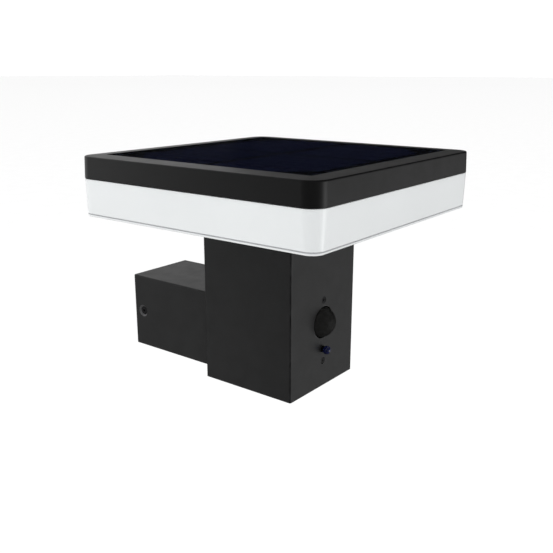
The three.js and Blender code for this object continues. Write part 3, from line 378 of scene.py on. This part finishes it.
def tinted_button(name):
    """Deep blue glossy ball."""
    colour = (0.005, 0.007, 0.036)
    s = Shader(name, colour, 0.3)
    s.set(Coat_Weight=0.8, Coat_Roughness=0.12, Specular_IOR_Level=0.3)
    s.colour(s.ramp(s.noise(500, 3, 0.5), shade(colour, 0.7), shade(colour, 1.3), 0.3, 0.7))
    s.rough(s.ramp(s.noise(700, 3, 0.6), 0.24, 0.36))
    s.bump(s.noise(1500, 2, 0.5), 0.000002, 0.2)
    return s.material


materials = {
    "anthracite_shell": powder_coat("moulded_anthracite", roughness=0.42),
    "anthracite_extrusion": powder_coat("powder_coated_aluminium", for_extrusion=True),
    "diffuser": frosted_plastic("opal_plastic"),
    "panel_glass": panel_glass("panel_cover_glass"),
    "solar_cells": solar_cell("mono_silicon"),
    "white_board": circuit_board("white_lamp_board", (0.42, 0.42, 0.40)),
    "reflector": moulded_plastic("reflector_film", (0.82, 0.82, 0.81), 0.45),
    "rubber": soft_rubber("seal_rubber"),
    "black_plastic": moulded_plastic("black_nylon", (0.0035, 0.0035, 0.0038), 0.6, specular=0.0),
    "motion_lens": lens_plastic("lens_polyethylene"),
    "button": tinted_button("button_blue"),
    "green_board": circuit_board("green_board"),
    "sensor_can": zinc_steel("sensor_can_plating", (0.55, 0.47, 0.30)),
    "zinc_steel": zinc_steel("zinc_plated_steel"),
    "black_steel": black_oxide("black_oxide_steel"),
    "battery_wrap": moulded_plastic("battery_sleeve", (0.015, 0.09, 0.28), 0.3, 900, 0.4),
    "cable_jacket": soft_rubber("cable_sheath"),
}
slot_of = {row["node"]: row["material_slot"] for row in frame["record"]["subparts"]}
body_of = {node: body for body, nodes in frame["record"]["behaviour"]["bodies"].items() for node in nodes}


# ---------------------------------------------------------------- mesh helpers
def rounded_outline(half_x, half_y, radius, steps=8):
    """Points of a rounded rectangle round the origin, anticlockwise."""
    points = []
    for corner, (sx, sy) in enumerate(((1, 1), (-1, 1), (-1, -1), (1, -1))):
        for step in range(steps + 1):
            angle = (corner + step / steps) * math.pi / 2
            x = sx * (half_x - radius) + radius * math.cos(angle)
            y = sy * (half_y - radius) + radius * math.sin(angle)
            points.append((x, y))
    return points


def loft(rings, closed=False):
    """Skins rings of points that match one to one; closed joins the last ring to the first, else both ends
    are capped."""
    bm = bmesh.new()
    made = [[bm.verts.new(point) for point in ring] for ring in rings]
    pairs = list(zip(made, made[1:])) + ([(made[-1], made[0])] if closed else [])
    count = len(rings[0])
    for low, high in pairs:
        for i in range(count):
            j = (i + 1) % count
            bm.faces.new((low[i], low[j], high[j], high[i]))
    if not closed:
        bm.faces.new(list(reversed(made[0])))
        bm.faces.new(made[-1])
    bmesh.ops.recalc_face_normals(bm, faces=bm.faces)
    return bm


def square_rings(levels, centre, steps):
    """Rings for loft from (half side, corner radius, z) levels round an upright axis."""
    rings = []
    for half, radius, z in levels:
        outline = rounded_outline(half, half, radius, steps)
        rings.append([(centre.x + x, centre.y + y, z) for x, y in outline])
    return rings


def prism(outline, low, high):
    return loft([[(x, y, z) for x, y in outline] for z in (low, high)])


def turned(profile, segments=48, shift=None):
    """Turns (radius, z) points round Z; a profile starts and ends on the axis. shift(angle, radius, z) may
    move a radius."""
    bm = bmesh.new()
    rings = []
    for radius, z in profile:
        if radius <= 0:
            rings.append([bm.verts.new((0, 0, z))])
            continue
        ring = []
        for i in range(segments):
            angle = 2 * math.pi * i / segments
            r = shift(angle, radius, z) if shift else radius
            ring.append(bm.verts.new((r * math.cos(angle), r * math.sin(angle), z)))
        rings.append(ring)
    for low, high in zip(rings, rings[1:]):
        for i in range(segments):
            j = (i + 1) % segments
            quad = (low[i % len(low)], low[j % len(low)], high[j % len(high)], high[i % len(high)])
            bm.faces.new(tuple(dict.fromkeys(quad)))
    bmesh.ops.recalc_face_normals(bm, faces=bm.faces)
    return bm


def box_mesh(low, high):
    bm = bmesh.new()
    bmesh.ops.create_cube(bm, size=1)
    low, high = Vector(low), Vector(high)
    size = high - low
    bmesh.ops.scale(bm, vec=size, verts=bm.verts)
    bmesh.ops.translate(bm, vec=(low + high) / 2, verts=bm.verts)
    return bm


def moved(bm, matrix):
    bmesh.ops.transform(bm, matrix=matrix, verts=bm.verts)
    return bm


def merged(meshes):
    """All the meshes in one, each still its own closed body."""
    whole = bmesh.new()
    for bm in meshes:
        mesh = bpy.data.meshes.new("part")
        bm.to_mesh(mesh)
        bm.free()
        whole.from_mesh(mesh)
        bpy.data.meshes.remove(mesh)
    return whole


def loose_object(bm):
    mesh = bpy.data.meshes.new("loose")
    bm.to_mesh(mesh)
    bm.free()
    obj = bpy.data.objects.new("loose", mesh)
    scene.collection.objects.link(obj)
    return obj


def boolean(bm, operation, others):
    """bm cut by, or joined to, the other meshes."""
    target = loose_object(bm)
    tools = [loose_object(other) for other in others]
    for tool in tools:
        modifier = target.modifiers.new("cut", "BOOLEAN")
        modifier.operation = operation
        modifier.solver = "EXACT"
        modifier.object = tool
    depsgraph = bpy.context.evaluated_depsgraph_get()
    result = bpy.data.meshes.new_from_object(target.evaluated_get(depsgraph))
    out = bmesh.new()
    out.from_mesh(result)
    for obj in [target, *tools]:
        mesh = obj.data
        bpy.data.objects.remove(obj)
        bpy.data.meshes.remove(mesh)
    bpy.data.meshes.remove(result)
    bmesh.ops.remove_doubles(out, verts=out.verts, dist=1e-7)
    bmesh.ops.dissolve_degenerate(out, dist=1e-7, edges=out.edges)
    return out


def piece(name, bm, node, bevel=0.0, segments=3, sharp=40):
    """Adds a finished mesh that stands for a CAD node, with its body and slot."""
    limit = math.radians(sharp)
    for face in bm.faces:
        face.smooth = True
    for edge in bm.edges:
        edge.smooth = len(edge.link_faces) == 2 and edge.calc_face_angle(0) < limit
    mesh = bpy.data.meshes.new(name)
    bm.to_mesh(mesh)
    bm.free()
    obj = bpy.data.objects.new(name, mesh)
    scene.collection.objects.link(obj)
    if bevel:
        modifier = obj.modifiers.new("edge_round", "BEVEL")
        modifier.width = bevel
        modifier.segments = segments
        modifier.limit_method = "ANGLE"
        modifier.angle_limit = limit
        modifier.use_clamp_overlap = True
    normals = obj.modifiers.new("even_normals", "WEIGHTED_NORMAL")
    normals.keep_sharp = True
    slot = slot_of[node]
    obj.data.materials.append(materials[slot])
    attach(obj, body_of[node])
    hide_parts(node)


def quarter(radius, start, steps=6):
    """(inset, rise) along a quarter round that ends on the upright side: start 0 from the side up."""
    return [
        (radius * (1 - math.cos(math.pi / 2 * i / steps)), radius * math.sin(math.pi / 2 * i / steps))
        for i in range(start, steps + 1)
    ]


# ---------------------------------------------------------------- head
def build_cap():
    low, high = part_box("top_cap")
    glass_low, glass_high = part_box("panel_glass")
    half = (high.x - low.x) / 2
    pocket = (glass_high.x - glass_low.x) / 2 + POCKET_FIT
    ledge_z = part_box("panel_tape")[0].z - SEAT
    ledge = pocket - 6 * MM
    lip = 0.35 * MM
    edge_z = high.z - RIM_FALL
    levels = [
        (ledge, 3 * MM, ledge_z),
        (pocket, POCKET_CORNER, ledge_z),
        (pocket, POCKET_CORNER, high.z - lip),
    ]
    for inset, rise in quarter(lip, 1, 3):
        levels.append((pocket + inset, POCKET_CORNER + inset, high.z - lip + rise))
    for inset, rise in reversed(quarter(RIM_ROUND, 0, 10)):
        levels.append((half - CAP_DRAFT - inset, HEAD_CORNER - inset, edge_z - RIM_ROUND + rise))
    foot = 0.5 * MM
    for inset, rise in quarter(foot, 0, 4):
        levels.append((half - inset, HEAD_CORNER - inset, low.z + foot - rise))
    inner = half - CAP_WALL
    levels += [
        (inner, HEAD_CORNER - CAP_WALL, low.z),
        (inner, HEAD_CORNER - CAP_WALL, low.z + 3.5 * MM),
        (ledge, 3 * MM, low.z + 3.5 * MM),
    ]
    bm = loft(square_rings(levels, head_axis, 18), closed=True)
    piece("head_cap_shell", bm, "top_cap", sharp=50)


def build_panel():
    low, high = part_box("panel_glass")
    half = (high.x - low.x) / 2
    outline = [(head_axis.x + x, head_axis.y + y) for x, y in rounded_outline(half, half, POCKET_CORNER, 6)]
    piece("panel_cover", prism(outline, low.z, high.z), "panel_glass", bevel=0.12 * MM)
    quarters = (("back_right", 1, 1), ("back_left", -1, 1), ("front_left", -1, -1), ("front_right", 1, -1))
    for place, sx, sy in quarters:
        build_string(f"cell_string_{place}", sx, sy)


def build_string(node, sx, sy):
    """Four narrow cells with the wafer's cut corner, each with its busbar."""
    low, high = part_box(node)
    width, depth = high.x - low.x, high.y - low.y
    near_x = low.x if sx > 0 else high.x
    near_y = low.y if sy > 0 else high.y
    pitch = (width + STRIP_GAP) / STRIPS
    chamfer_from = width - WAFER_CHAMFER
    meshes = []

    def end(x):
        """How far a strip reaches at x, less where the wafer's corner is cut."""
        return depth - max(0.0, x - chamfer_from)

    for strip in range(STRIPS):
        a, b = strip * pitch, strip * pitch + pitch - STRIP_GAP
        outline = [(a, 0), (b, 0), (b, end(b))]
        if a < chamfer_from < b:
            outline.append((chamfer_from, depth))
        outline.append((a, end(a)))
        points = [(near_x + sx * x, near_y + sy * y) for x, y in outline]
        top = high.z
        meshes.append(loft([[(x, y, z) for x, y in points] for z in (low.z, top)]))
        bar_half = 0.35 * MM
        centre = (a + b) / 2
        x0, x1 = sorted((near_x + sx * (centre - bar_half), near_x + sx * (centre + bar_half)))
        y0, y1 = sorted((near_y + sy * 2 * MM, near_y + sy * (end(b) - 2 * MM)))
        meshes.append(box_mesh((x0, y0, top - 0.02 * MM), (x1, y1, top + 0.06 * MM)))
    piece(f"{node}_wafer", merged(meshes), node, bevel=0.08 * MM, segments=2)


def build_diffuser():
    """Tub whose side leans in towards its foot, with a line scribed just above it."""
    low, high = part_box("diffuser")
    half = (high.x - low.x) / 2
    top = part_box("top_cap")[0].z - SEAT
    corner = HEAD_CORNER - 0.1 * MM
    height = top - low.z

    def level(z, inset=0.0):
        lean = (top - z) / height
        radius = corner + (DIFFUSER_FOOT_CORNER - corner) * lean
        return (half - DIFFUSER_DRAFT * lean - inset, radius - inset, z)

    inner_half = half - DIFFUSER_DRAFT - DIFFUSER_WALL
    inner_corner = DIFFUSER_FOOT_CORNER - DIFFUSER_WALL
    levels = [
        (inner_half, inner_corner, low.z + DIFFUSER_WALL),
        (inner_half, inner_corner, top),
        level(top),
        level(top - 0.4 * MM),
        level(top - height * 0.35),
        level(top - height * 0.7),
    ]
    line = low.z + GROOVE_ABOVE_FOOT
    for rise, inset in ((0.42, 0), (0.3, 0.15), (0.12, 0.9), (-0.12, 0.9), (-0.3, 0.15), (-0.42, 0)):
        levels.append(level(line + rise * MM, inset * GROOVE_DEPTH))
    foot = 1.1 * MM
    for inset, rise in quarter(foot, 0, 6):
        levels.append(level(low.z + foot - rise, inset))
    bm = loft(square_rings(levels, head_axis, 18))
    piece("diffuser_tub", bm, "diffuser", sharp=50)


# ---------------------------------------------------------------- column
def facing_front(x, z, y=column_face):
    """Puts a shape that is turned round +Z on the column's front, its +Z pointing out of it."""
    return Matrix.Translation((x, y, z)) @ Matrix.Rotation(math.radians(90), 4, "X")


def build_column():
    low, high = column_low, column_high
    half = (high.x - low.x) / 2
    inner = half - COLUMN_WALL
    centre = (low + high) / 2

    def shifted(outline):
        return [(centre.x + x, centre.y + y) for x, y in outline]

    tube = prism(shifted(rounded_outline(half, half, COLUMN_EDGE, 6)), low.z, high.z)
    hollow = prism(shifted(rounded_outline(inner, inner, 0.4 * MM, 2)), low.z - MM, high.z + MM)
    button = middle("mode_button")
    cutters = [
        hollow,
        hole(LENS_RADIUS + LENS_CLEAR, sensor_axis.x, sensor_axis.z),
        hole(STEM_RADIUS + 0.3 * MM, button.x, button.z),
        *[countersink(middle(f"sensor_screw_{place}")) for place in ("upper", "lower")],
    ]
    cut = boolean(tube, "DIFFERENCE", cutters)
    block = PORT_BLOCK / 2
    foot_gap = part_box("foot_seal")[1].z + SEAT
    blocks = []
    for sx in (-1, 1):
        for sy in (-1, 1):
            x = centre.x + sx * (inner - block)
            y = centre.y + sy * (inner - block)
            grown = block + 0.3 * MM
            blocks.append(box_mesh((x - grown, y - grown, foot_gap), (x + grown, y + grown, high.z)))
    cut = boolean(cut, "UNION", blocks)
    piece("column_extrusion", cut, "column_tube", bevel=0.2 * MM, segments=2)


def hole(radius, x, z):
    depth = COLUMN_WALL + 2 * MM
    profile = [(0, -depth), (radius, -depth), (radius, MM), (0, MM)]
    return moved(turned(profile, 64), facing_front(x, z))


def countersink(centre):
    profile = [
        (0, -COLUMN_WALL - MM),
        (1.5 * MM, -COLUMN_WALL - MM),
        (1.5 * MM, -1.8 * MM),
        (2.75 * MM, -0.5 * MM),
        (2.75 * MM, MM),
        (0, MM),
    ]
    return moved(turned(profile, 40), facing_front(centre.x, centre.z))


def build_foot():
    low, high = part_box("column_foot")
    half = (high.x - low.x) / 2
    centre = (low + high) / 2
    outline = [(centre.x + x, centre.y + y) for x, y in rounded_outline(half, half, MM, 4)]
    plate = prism(outline, low.z, high.z)
    sinks = []
    for i in range(1, 5):
        axis = middle(f"foot_screw_{i}")
        profile = [
            (0, -MM),
            (3.9 * MM, -MM),
            (3.9 * MM, 0.5 * MM),
            (2.3 * MM, 2.1 * MM),
            (2.3 * MM, 4 * MM),
            (0, 4 * MM),
        ]
        sinks.append(moved(turned(profile, 40), Matrix.Translation((axis.x, axis.y, low.z))))
    piece("column_foot_plate", boolean(plate, "DIFFERENCE", sinks), "column_foot", bevel=0.3 * MM)


# ---------------------------------------------------------------- screws
def thread_shift(radius, pitch, depth, low, high):
    """Radius of a helical thread between two heights."""

    def shift(angle, r, z):
        if not low <= z <= high or abs(r - radius) > 1e-9:
            return r
        phase = (z / pitch - angle / (2 * math.pi)) % 1.0
        fade = min(1.0, (high - z) / pitch, (z - low) / pitch + 0.2)
        return r - depth * fade * (1 - 2 * abs(phase - 0.5))

    return shift


def screw_mesh(radius, head_radius, head_height, length, pitch, drive="cross"):
    """A countersunk screw down -Z whose head's top is at z = 0."""
    thread_top = -head_height - 0.4 * MM
    thread_foot = -length + 0.5 * MM
    profile = [(0, -length), (radius * 0.72, -length)]
    rows = max(8, round((thread_top - thread_foot) / pitch * 7))
    profile += [(radius, thread_foot + (thread_top - thread_foot) * i / rows) for i in range(rows + 1)]
    flat = 0.25 * MM
    edge = 0.12 * MM
    profile += [(radius, -head_height), (head_radius, -flat), (head_radius, -edge), (head_radius - edge, 0)]
    profile.append((0, 0))
    shift = thread_shift(radius, pitch, radius * 0.22, thread_foot, thread_top)
    body = turned(profile, 36, shift)
    depth = head_height * 0.62
    if drive == "hex":
        recess = turned([(0, -depth), (radius * 0.72, -depth), (radius * 0.72, MM), (0, MM)], 6)
        return boolean(body, "DIFFERENCE", [recess])
    arm, slot = head_radius * 0.58, head_radius * 0.13
    rings = [
        [(x * arm * k, y * slot * k, z) for x, y in ((-1, -1), (1, -1), (1, 1), (-1, 1))]
        for k, z in ((0.55, -depth), (1.0, 0), (1.05, MM))
    ]
    crossing = moved(loft(rings), Matrix.Rotation(math.pi / 2, 4, "Z"))
    return boolean(body, "DIFFERENCE", [loft(rings), crossing])


def build_screws():
    for place in ("upper", "lower"):
        node = f"sensor_screw_{place}"
        low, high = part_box(node)
        centre = (low + high) / 2
        bm = screw_mesh(1.2 * MM, (high.x - low.x) / 2, 1.3 * MM, high.y - low.y, 0.8 * MM)
        spin = Matrix.Rotation(math.radians(25 if place == "upper" else 70), 4, "Z")
        moved(bm, facing_front(centre.x, centre.z, low.y) @ spin)
        piece(f"{node}_body", bm, node, sharp=30)
    for i in range(1, 5):
        node = f"foot_screw_{i}"
        low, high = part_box(node)
        bm = screw_mesh(2 * MM, (high.x - low.x) / 2, 1.9 * MM, high.z - low.z, 0.7 * MM)
        turn = Matrix.Rotation(math.pi, 4, "X") @ Matrix.Rotation(math.radians(37 * i), 4, "Z")
        moved(bm, Matrix.Translation(((low.x + high.x) / 2, (low.y + high.y) / 2, low.z)) @ turn)
        piece(f"{node}_body", bm, node, sharp=30)
    for place, side in (("left", -1), ("right", 1)):
        node = f"clamp_screw_{place}"
        low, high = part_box(node)
        centre = (low + high) / 2
        bm = screw_mesh(2 * MM, (high.z - low.z) / 2, 1.3 * MM, high.x - low.x, 0.7 * MM, drive="hex")
        outer = high.x if side > 0 else low.x
        turn = Matrix.Rotation(side * math.pi / 2, 4, "Y")
        moved(bm, Matrix.Translation((outer, centre.y, centre.z)) @ turn)
        piece(f"{node}_body", bm, node, sharp=30)


# ---------------------------------------------------------------- sensor face
def lenslet_groove(x, y):
    """Depth of the groove between hexagonal lenslets at a place on the dome."""
    size = LENSLET / math.sqrt(3)
    q = (x * math.sqrt(3) / 3 - y / 3) / size
    r = (y * 2 / 3) / size
    rq, rr, rs = round(q), round(r), round(-q - r)
    dq, dr, ds = abs(rq - q), abs(rr - r), abs(rs + q + r)
    if dq > dr and dq > ds:
        rq = -rr - rs
    elif dr > ds:
        rr = -rq - rs
    dx = x - size * (math.sqrt(3) * rq + math.sqrt(3) / 2 * rr)
    dy = y - size * 1.5 * rr
    reach = max(abs(dx), abs(dx / 2 + dy * math.sqrt(3) / 2), abs(dx / 2 - dy * math.sqrt(3) / 2))
    return LENSLET_GROOVE * min(1.0, reach / (LENSLET / 2)) ** 3


def dome_ring(sphere, angle, bulge, depth):
    """Ring of the dome at an angle from its middle; depth scales its grooves."""
    ring = []
    for k in range(LENS_SEGMENTS):
        turn = 2 * math.pi * k / LENS_SEGMENTS
        x = sphere * math.sin(angle) * math.cos(turn)
        y = sphere * math.sin(angle) * math.sin(turn)
        ring.append((x, y, bulge - sphere * (1 - math.cos(angle)) - lenslet_groove(x, y) * depth))
    return ring


def plain_ring(radius, z):
    turns = [2 * math.pi * k / LENS_SEGMENTS for k in range(LENS_SEGMENTS)]
    return [(radius * math.cos(turn), radius * math.sin(turn), z) for turn in turns]


def build_lens():
    """Fresnel dome: hexagonal lenslets pressed into a shallow cap, over a plain flange."""
    low, high = lens_low, lens_high
    bulge = column_face - low.y
    base = LENS_RADIUS
    flange = (high.x - low.x) / 2
    sphere = (base * base + bulge * bulge) / (2 * bulge)
    half_angle = math.asin(base / sphere)
    back = -(high.y - column_face)
    front = back + LENS_FLANGE_THICK
    bm = bmesh.new()
    rings = 34
    rows = []
    for i in range(rings, 0, -1):
        points = dome_ring(sphere, half_angle * i / rings, bulge, min(1.0, (rings - i) / 3))
        rows.append([bm.verts.new(point) for point in points])
    flange_rings = ((base, front), (flange, front), (flange, back), (base - LENS_WALL, back))
    below = [[bm.verts.new(point) for point in plain_ring(radius, z)] for radius, z in flange_rings]
    chain = [*reversed(below), *rows]
    for a, b in zip(chain, chain[1:]):
        for k in range(LENS_SEGMENTS):
            j = (k + 1) % LENS_SEGMENTS
            bm.faces.new((a[k], a[j], b[j], b[k]))
    tip = bm.verts.new((0, 0, bulge))
    foot = bm.verts.new((0, 0, bulge - 2.2 * MM))
    for k in range(LENS_SEGMENTS):
        j = (k + 1) % LENS_SEGMENTS
        bm.faces.new((rows[-1][k], rows[-1][j], tip))
        bm.faces.new((chain[0][j], chain[0][k], foot))
    bmesh.ops.recalc_face_normals(bm, faces=bm.faces)
    moved(bm, facing_front(sensor_axis.x, sensor_axis.z))
    piece("motion_lens_dome", bm, "motion_lens", sharp=50)


def build_button():
    """Ball with a flat back and a bore for the pin of its stem."""
    low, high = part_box("mode_button")
    ball = (high.x - low.x) / 2
    stands = column_face - low.y
    back = column_face - high.y
    ball_middle = stands - ball
    pin_front = column_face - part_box("button_stem")[0].y
    bore = STEM_PIN_RADIUS + 0.2 * MM
    profile = [(0, pin_front + 0.2 * MM), (bore, pin_front + 0.2 * MM), (bore, back)]
    start = math.asin((back - ball_middle) / ball)
    steps = 40
    for i in range(steps + 1):
        angle = start + (math.pi / 2 - start) * i / steps
        radius = ball * math.cos(angle) if i < steps else 0
        profile.append((radius, ball_middle + ball * math.sin(angle)))
    bm = turned(profile, 72)
    centre = (low + high) / 2
    moved(bm, facing_front(centre.x, centre.z))
    piece("mode_button_ball", bm, "mode_button", bevel=0.12 * MM, segments=2, sharp=35)


def build_stem():
    low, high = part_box("button_stem")
    flange = (high.x - low.x) / 2
    back, front = column_face - high.y, column_face - low.y
    shoulder = column_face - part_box("mode_button")[1].y - SEAT
    flange_front = -COLUMN_WALL - SEAT
    profile = [
        (0, back),
        (1.4 * MM, back),
        (1.4 * MM, flange_front - MM),
        (flange, flange_front - MM),
        (flange, flange_front),
        (STEM_RADIUS, flange_front),
        (STEM_RADIUS, shoulder),
        (STEM_PIN_RADIUS, shoulder),
        (STEM_PIN_RADIUS, front),
        (0, front),
    ]
    bm = turned(profile, 48)
    centre = (low + high) / 2
    moved(bm, facing_front(centre.x, centre.z))
    piece("button_stem_turned", bm, "button_stem", bevel=0.12 * MM, segments=2, sharp=35)


# ---------------------------------------------------------------- arm and bracket
def along_arm(y):
    """Turns a shape built up +Z into one that runs out from the wall, its z = 0 at the given y."""
    return Matrix.Translation((0, y, 0)) @ Matrix.Rotation(math.radians(90), 4, "X")


def build_arm():
    low, high = arm_low, arm_high
    half = (high.x - low.x) / 2
    inner = half - ARM_WALL
    length = high.y - low.y
    tube = prism(rounded_outline(half, half, ARM_EDGE, 5), 0, length)
    hollow = prism(rounded_outline(inner, inner, 0.4 * MM, 2), -MM, length + MM)
    tube = boolean(tube, "DIFFERENCE", [hollow])
    start = 6 * MM
    block = ARM_PORT_BLOCK / 2
    blocks = []
    for sx in (-1, 1):
        for sz in (-1, 1):
            x = sx * abs(middle("arm_screw_1").x)
            z = sz * (inner - block)
            z0, z1 = sorted((z - sz * block, z + sz * (block + 0.4 * MM)))
            blocks.append(box_mesh((x - block, z0, start), (x + block, z1, length)))
    tube = boolean(tube, "UNION", blocks)
    bores = []
    for block_x in (-1, 1):
        for block_z in (-1, 1):
            near, far = start - MM, start + 20 * MM
            profile = [(0, near), (PORT_RADIUS, near), (PORT_RADIUS, far), (0, far)]
            place = (block_x * abs(middle("arm_screw_1").x), block_z * (inner - block), 0)
            bores.append(moved(turned(profile, 24), Matrix.Translation(place)))
    clamp_z = -middle("clamp_screw_left").y
    for side in (-1, 1):
        profile = [
            (0, -ARM_WALL - MM),
            (CLAMP_HOLE, -ARM_WALL - MM),
            (CLAMP_HOLE, -2.7 * MM),
            (CLAMP_MOUTH, 0),
            (CLAMP_MOUTH, MM),
            (0, MM),
        ]
        turn = Matrix.Rotation(side * math.pi / 2, 4, "Y")
        bores.append(moved(turned(profile, 48), Matrix.Translation((side * half, 0, clamp_z)) @ turn))
    tube = boolean(tube, "DIFFERENCE", bores)
    moved(tube, along_arm(high.y))
    piece("arm_extrusion", tube, "arm_tube", bevel=0.2 * MM, segments=2)


def build_bracket():
    """Folded steel bracket with rounded bends, slotted back and open slots in its wings."""
    low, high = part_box("wall_bracket")
    half = (high.x - low.x) / 2
    depth = high.y - low.y
    thick = BRACKET_SHEET
    tall = (high.z - low.z) / 2
    outer, inner = SHEET_BEND, SHEET_BEND - thick
    steps = 8
    path = [(-half, depth)]
    path += [(-half + outer - outer * math.cos(a), outer - outer * math.sin(a)) for a in arc_angles(steps)]
    path += [(half - outer + outer * math.sin(a), outer - outer * math.cos(a)) for a in arc_angles(steps)]
    path += [(half, depth), (half - thick, depth)]
    path += [(half - outer + inner * math.cos(a), outer - inner * math.sin(a)) for a in arc_angles(steps)]
    path += [(-half + outer - inner * math.sin(a), outer - inner * math.cos(a)) for a in arc_angles(steps)]
    path += [(-half + thick, depth)]
    folded = loft([[(x, -out, z) for x, out in path] for z in (-tall, tall)])
    cutters = []
    for side in (-1, 1):
        slot = prism(rounded_outline(7 * MM, 2.6 * MM, 2.59 * MM, 8), -MM, thick + MM)
        cutters.append(moved(slot, Matrix.Translation((side * 14 * MM, 0, 0)) @ along_arm(0)))
        small = turned([(0, -MM), (2.3 * MM, -MM), (2.3 * MM, thick + MM), (0, thick + MM)], 32)
        cutters.append(moved(small, Matrix.Translation((0, 0, side * 11.5 * MM)) @ along_arm(0)))
        x0, x1 = sorted((side * (half + MM), side * (half - thick - MM)))
        boss = 3.8 * MM
        clamp_y = middle("clamp_screw_left").y
        cutters.append(box_mesh((x0, -depth - MM, -boss), (x1, clamp_y + boss, boss)))
    folded = boolean(folded, "DIFFERENCE", cutters)
    piece("bracket_folded", folded, "wall_bracket", bevel=0.25 * MM, segments=2)


def arc_angles(steps):
    return [math.pi / 2 * i / steps for i in range(steps + 1)]


def build_nuts():
    for place, side in (("left", -1), ("right", 1)):
        node = f"clamp_nut_{place}"
        low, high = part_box(node)
        centre = (low + high) / 2
        thick = 4 * MM
        boss = 3.5 * MM
        inner = high.x if side < 0 else low.x
        proud = high.x - low.x
        half_width, half_height = (high.y - low.y) / 2, (high.z - low.z) / 2
        plate = prism(rounded_outline(half_width, half_height, 1.2 * MM, 4), 0, thick)
        key = prism(rounded_outline(boss, boss, 0.5 * MM, 3), thick - MM, proud)
        body = boolean(plate, "UNION", [key])
        bore = turned([(0, -MM), (2.15 * MM, -MM), (2.15 * MM, proud + MM), (0, proud + MM)], 32)
        body = boolean(body, "DIFFERENCE", [bore])
        turn = Matrix.Rotation(side * math.pi / 2, 4, "Y") @ Matrix.Rotation(math.pi / 2, 4, "Z")
        moved(body, Matrix.Translation((inner, centre.y, centre.z)) @ turn)
        piece(f"{node}_plate", body, node, bevel=0.25 * MM, segments=2)


# ---------------------------------------------------------------- carried-over frame nodes
def finish_frame_nodes():
    for name, obj in frame["nodes"].items():
        slot = slot_of[name]
        obj.data.materials.clear()
        obj.data.materials.append(materials[slot])


# ---------------------------------------------------------------- floor, light and camera
CAMERA_FROM_HEAD = Vector((-0.4188, -0.3180, 0.0720))  # from the middle of the head's joint line
CAMERA_YAW = math.radians(52.426)
CAMERA_PITCH = math.radians(15.767)
CAMERA_ROLL = math.radians(0.063)
CAMERA_LENS = 47.457
FLOOR_DROP = 2.2


def build_floor():
    bm = bmesh.new()
    bmesh.ops.create_grid(bm, x_segments=1, y_segments=1, size=300)
    mesh = bpy.data.meshes.new("floor")
    bm.to_mesh(mesh)
    bm.free()
    floor = bpy.data.objects.new("floor", mesh)
    floor.location.z = -FLOOR_DROP
    s = Shader("pale_floor", (0.96, 0.96, 0.96), 0.9)
    s.colour(s.ramp(s.noise(3, 2, 0.5), (0.955, 0.955, 0.955), (0.975, 0.975, 0.975)))
    mesh.materials.append(s.material)
    floor.visible_glossy = False
    scene.collection.objects.link(floor)


def area_light(name, location, target, size, power, gloss_only=False):
    data = bpy.data.lights.new(name, "AREA")
    data.shape = "RECTANGLE"
    data.size, data.size_y = size
    data.energy = power
    obj = bpy.data.objects.new(name, data)
    obj.location = location
    obj.rotation_euler = (Vector(target) - Vector(location)).to_track_quat("-Z", "Y").to_euler()
    obj.visible_camera = False
    obj.visible_diffuse = not gloss_only
    scene.collection.objects.link(obj)


def build_lights():
    world = bpy.data.worlds.new("studio")
    world.use_nodes = True
    background = world.node_tree.nodes["Background"]
    background.inputs["Color"].default_value = (1, 1, 1, 1)
    background.inputs["Strength"].default_value = 1.1
    scene.world = world
    world.cycles_visibility.glossy = False
    aim = (0, -0.12, 0.05)
    area_light("back_left_softbox", (-0.35, 0.48, 0.35), (-0.35, 0, 0.35), (0.5, 0.9), 1.04)
    area_light("back_softbox", (0.28, 0.48, 0.35), (0.28, 0, 0.35), (0.76, 0.9), 1.6)
    area_light("back_right_softbox", (1.6, 0.48, 0.35), (1.6, 0, 0.35), (1.8, 0.9), 1.35)
    area_light("back_low_softbox", (-0.75, 0.48, -0.42), (-0.75, 0, -0.42), (0.9, 0.6), 1.1)
    area_light("front_strip", (0.6, -1.9, -0.4), aim, (0.4, 0.6), 6.0, gloss_only=True)
    area_light("low_right_softbox", (1.66, -1.36, -0.72), aim, (1.7, 1.9), 5.4, gloss_only=True)


def build_camera():
    data = bpy.data.cameras.new("view")
    data.lens = CAMERA_LENS
    data.sensor_width = 36
    data.clip_start = 0.01
    camera = bpy.data.objects.new("view", data)
    joint_line = Vector((head_axis.x, head_axis.y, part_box("top_cap")[0].z))
    camera.location = joint_line + CAMERA_FROM_HEAD
    turn = Matrix.Rotation(-CAMERA_YAW, 3, "Z") @ Matrix.Rotation(math.pi / 2 - CAMERA_PITCH, 3, "X")
    camera.rotation_euler = (turn @ Matrix.Rotation(CAMERA_ROLL, 3, "Z")).to_euler()
    scene.collection.objects.link(camera)
    scene.camera = camera


scene.view_settings.view_transform = "Standard"
finish_frame_nodes()
build_cap()
build_panel()
build_diffuser()
build_column()
build_foot()
build_screws()
build_lens()
build_button()
build_stem()
build_arm()
build_bracket()
build_nuts()
build_floor()
build_lights()
build_camera()
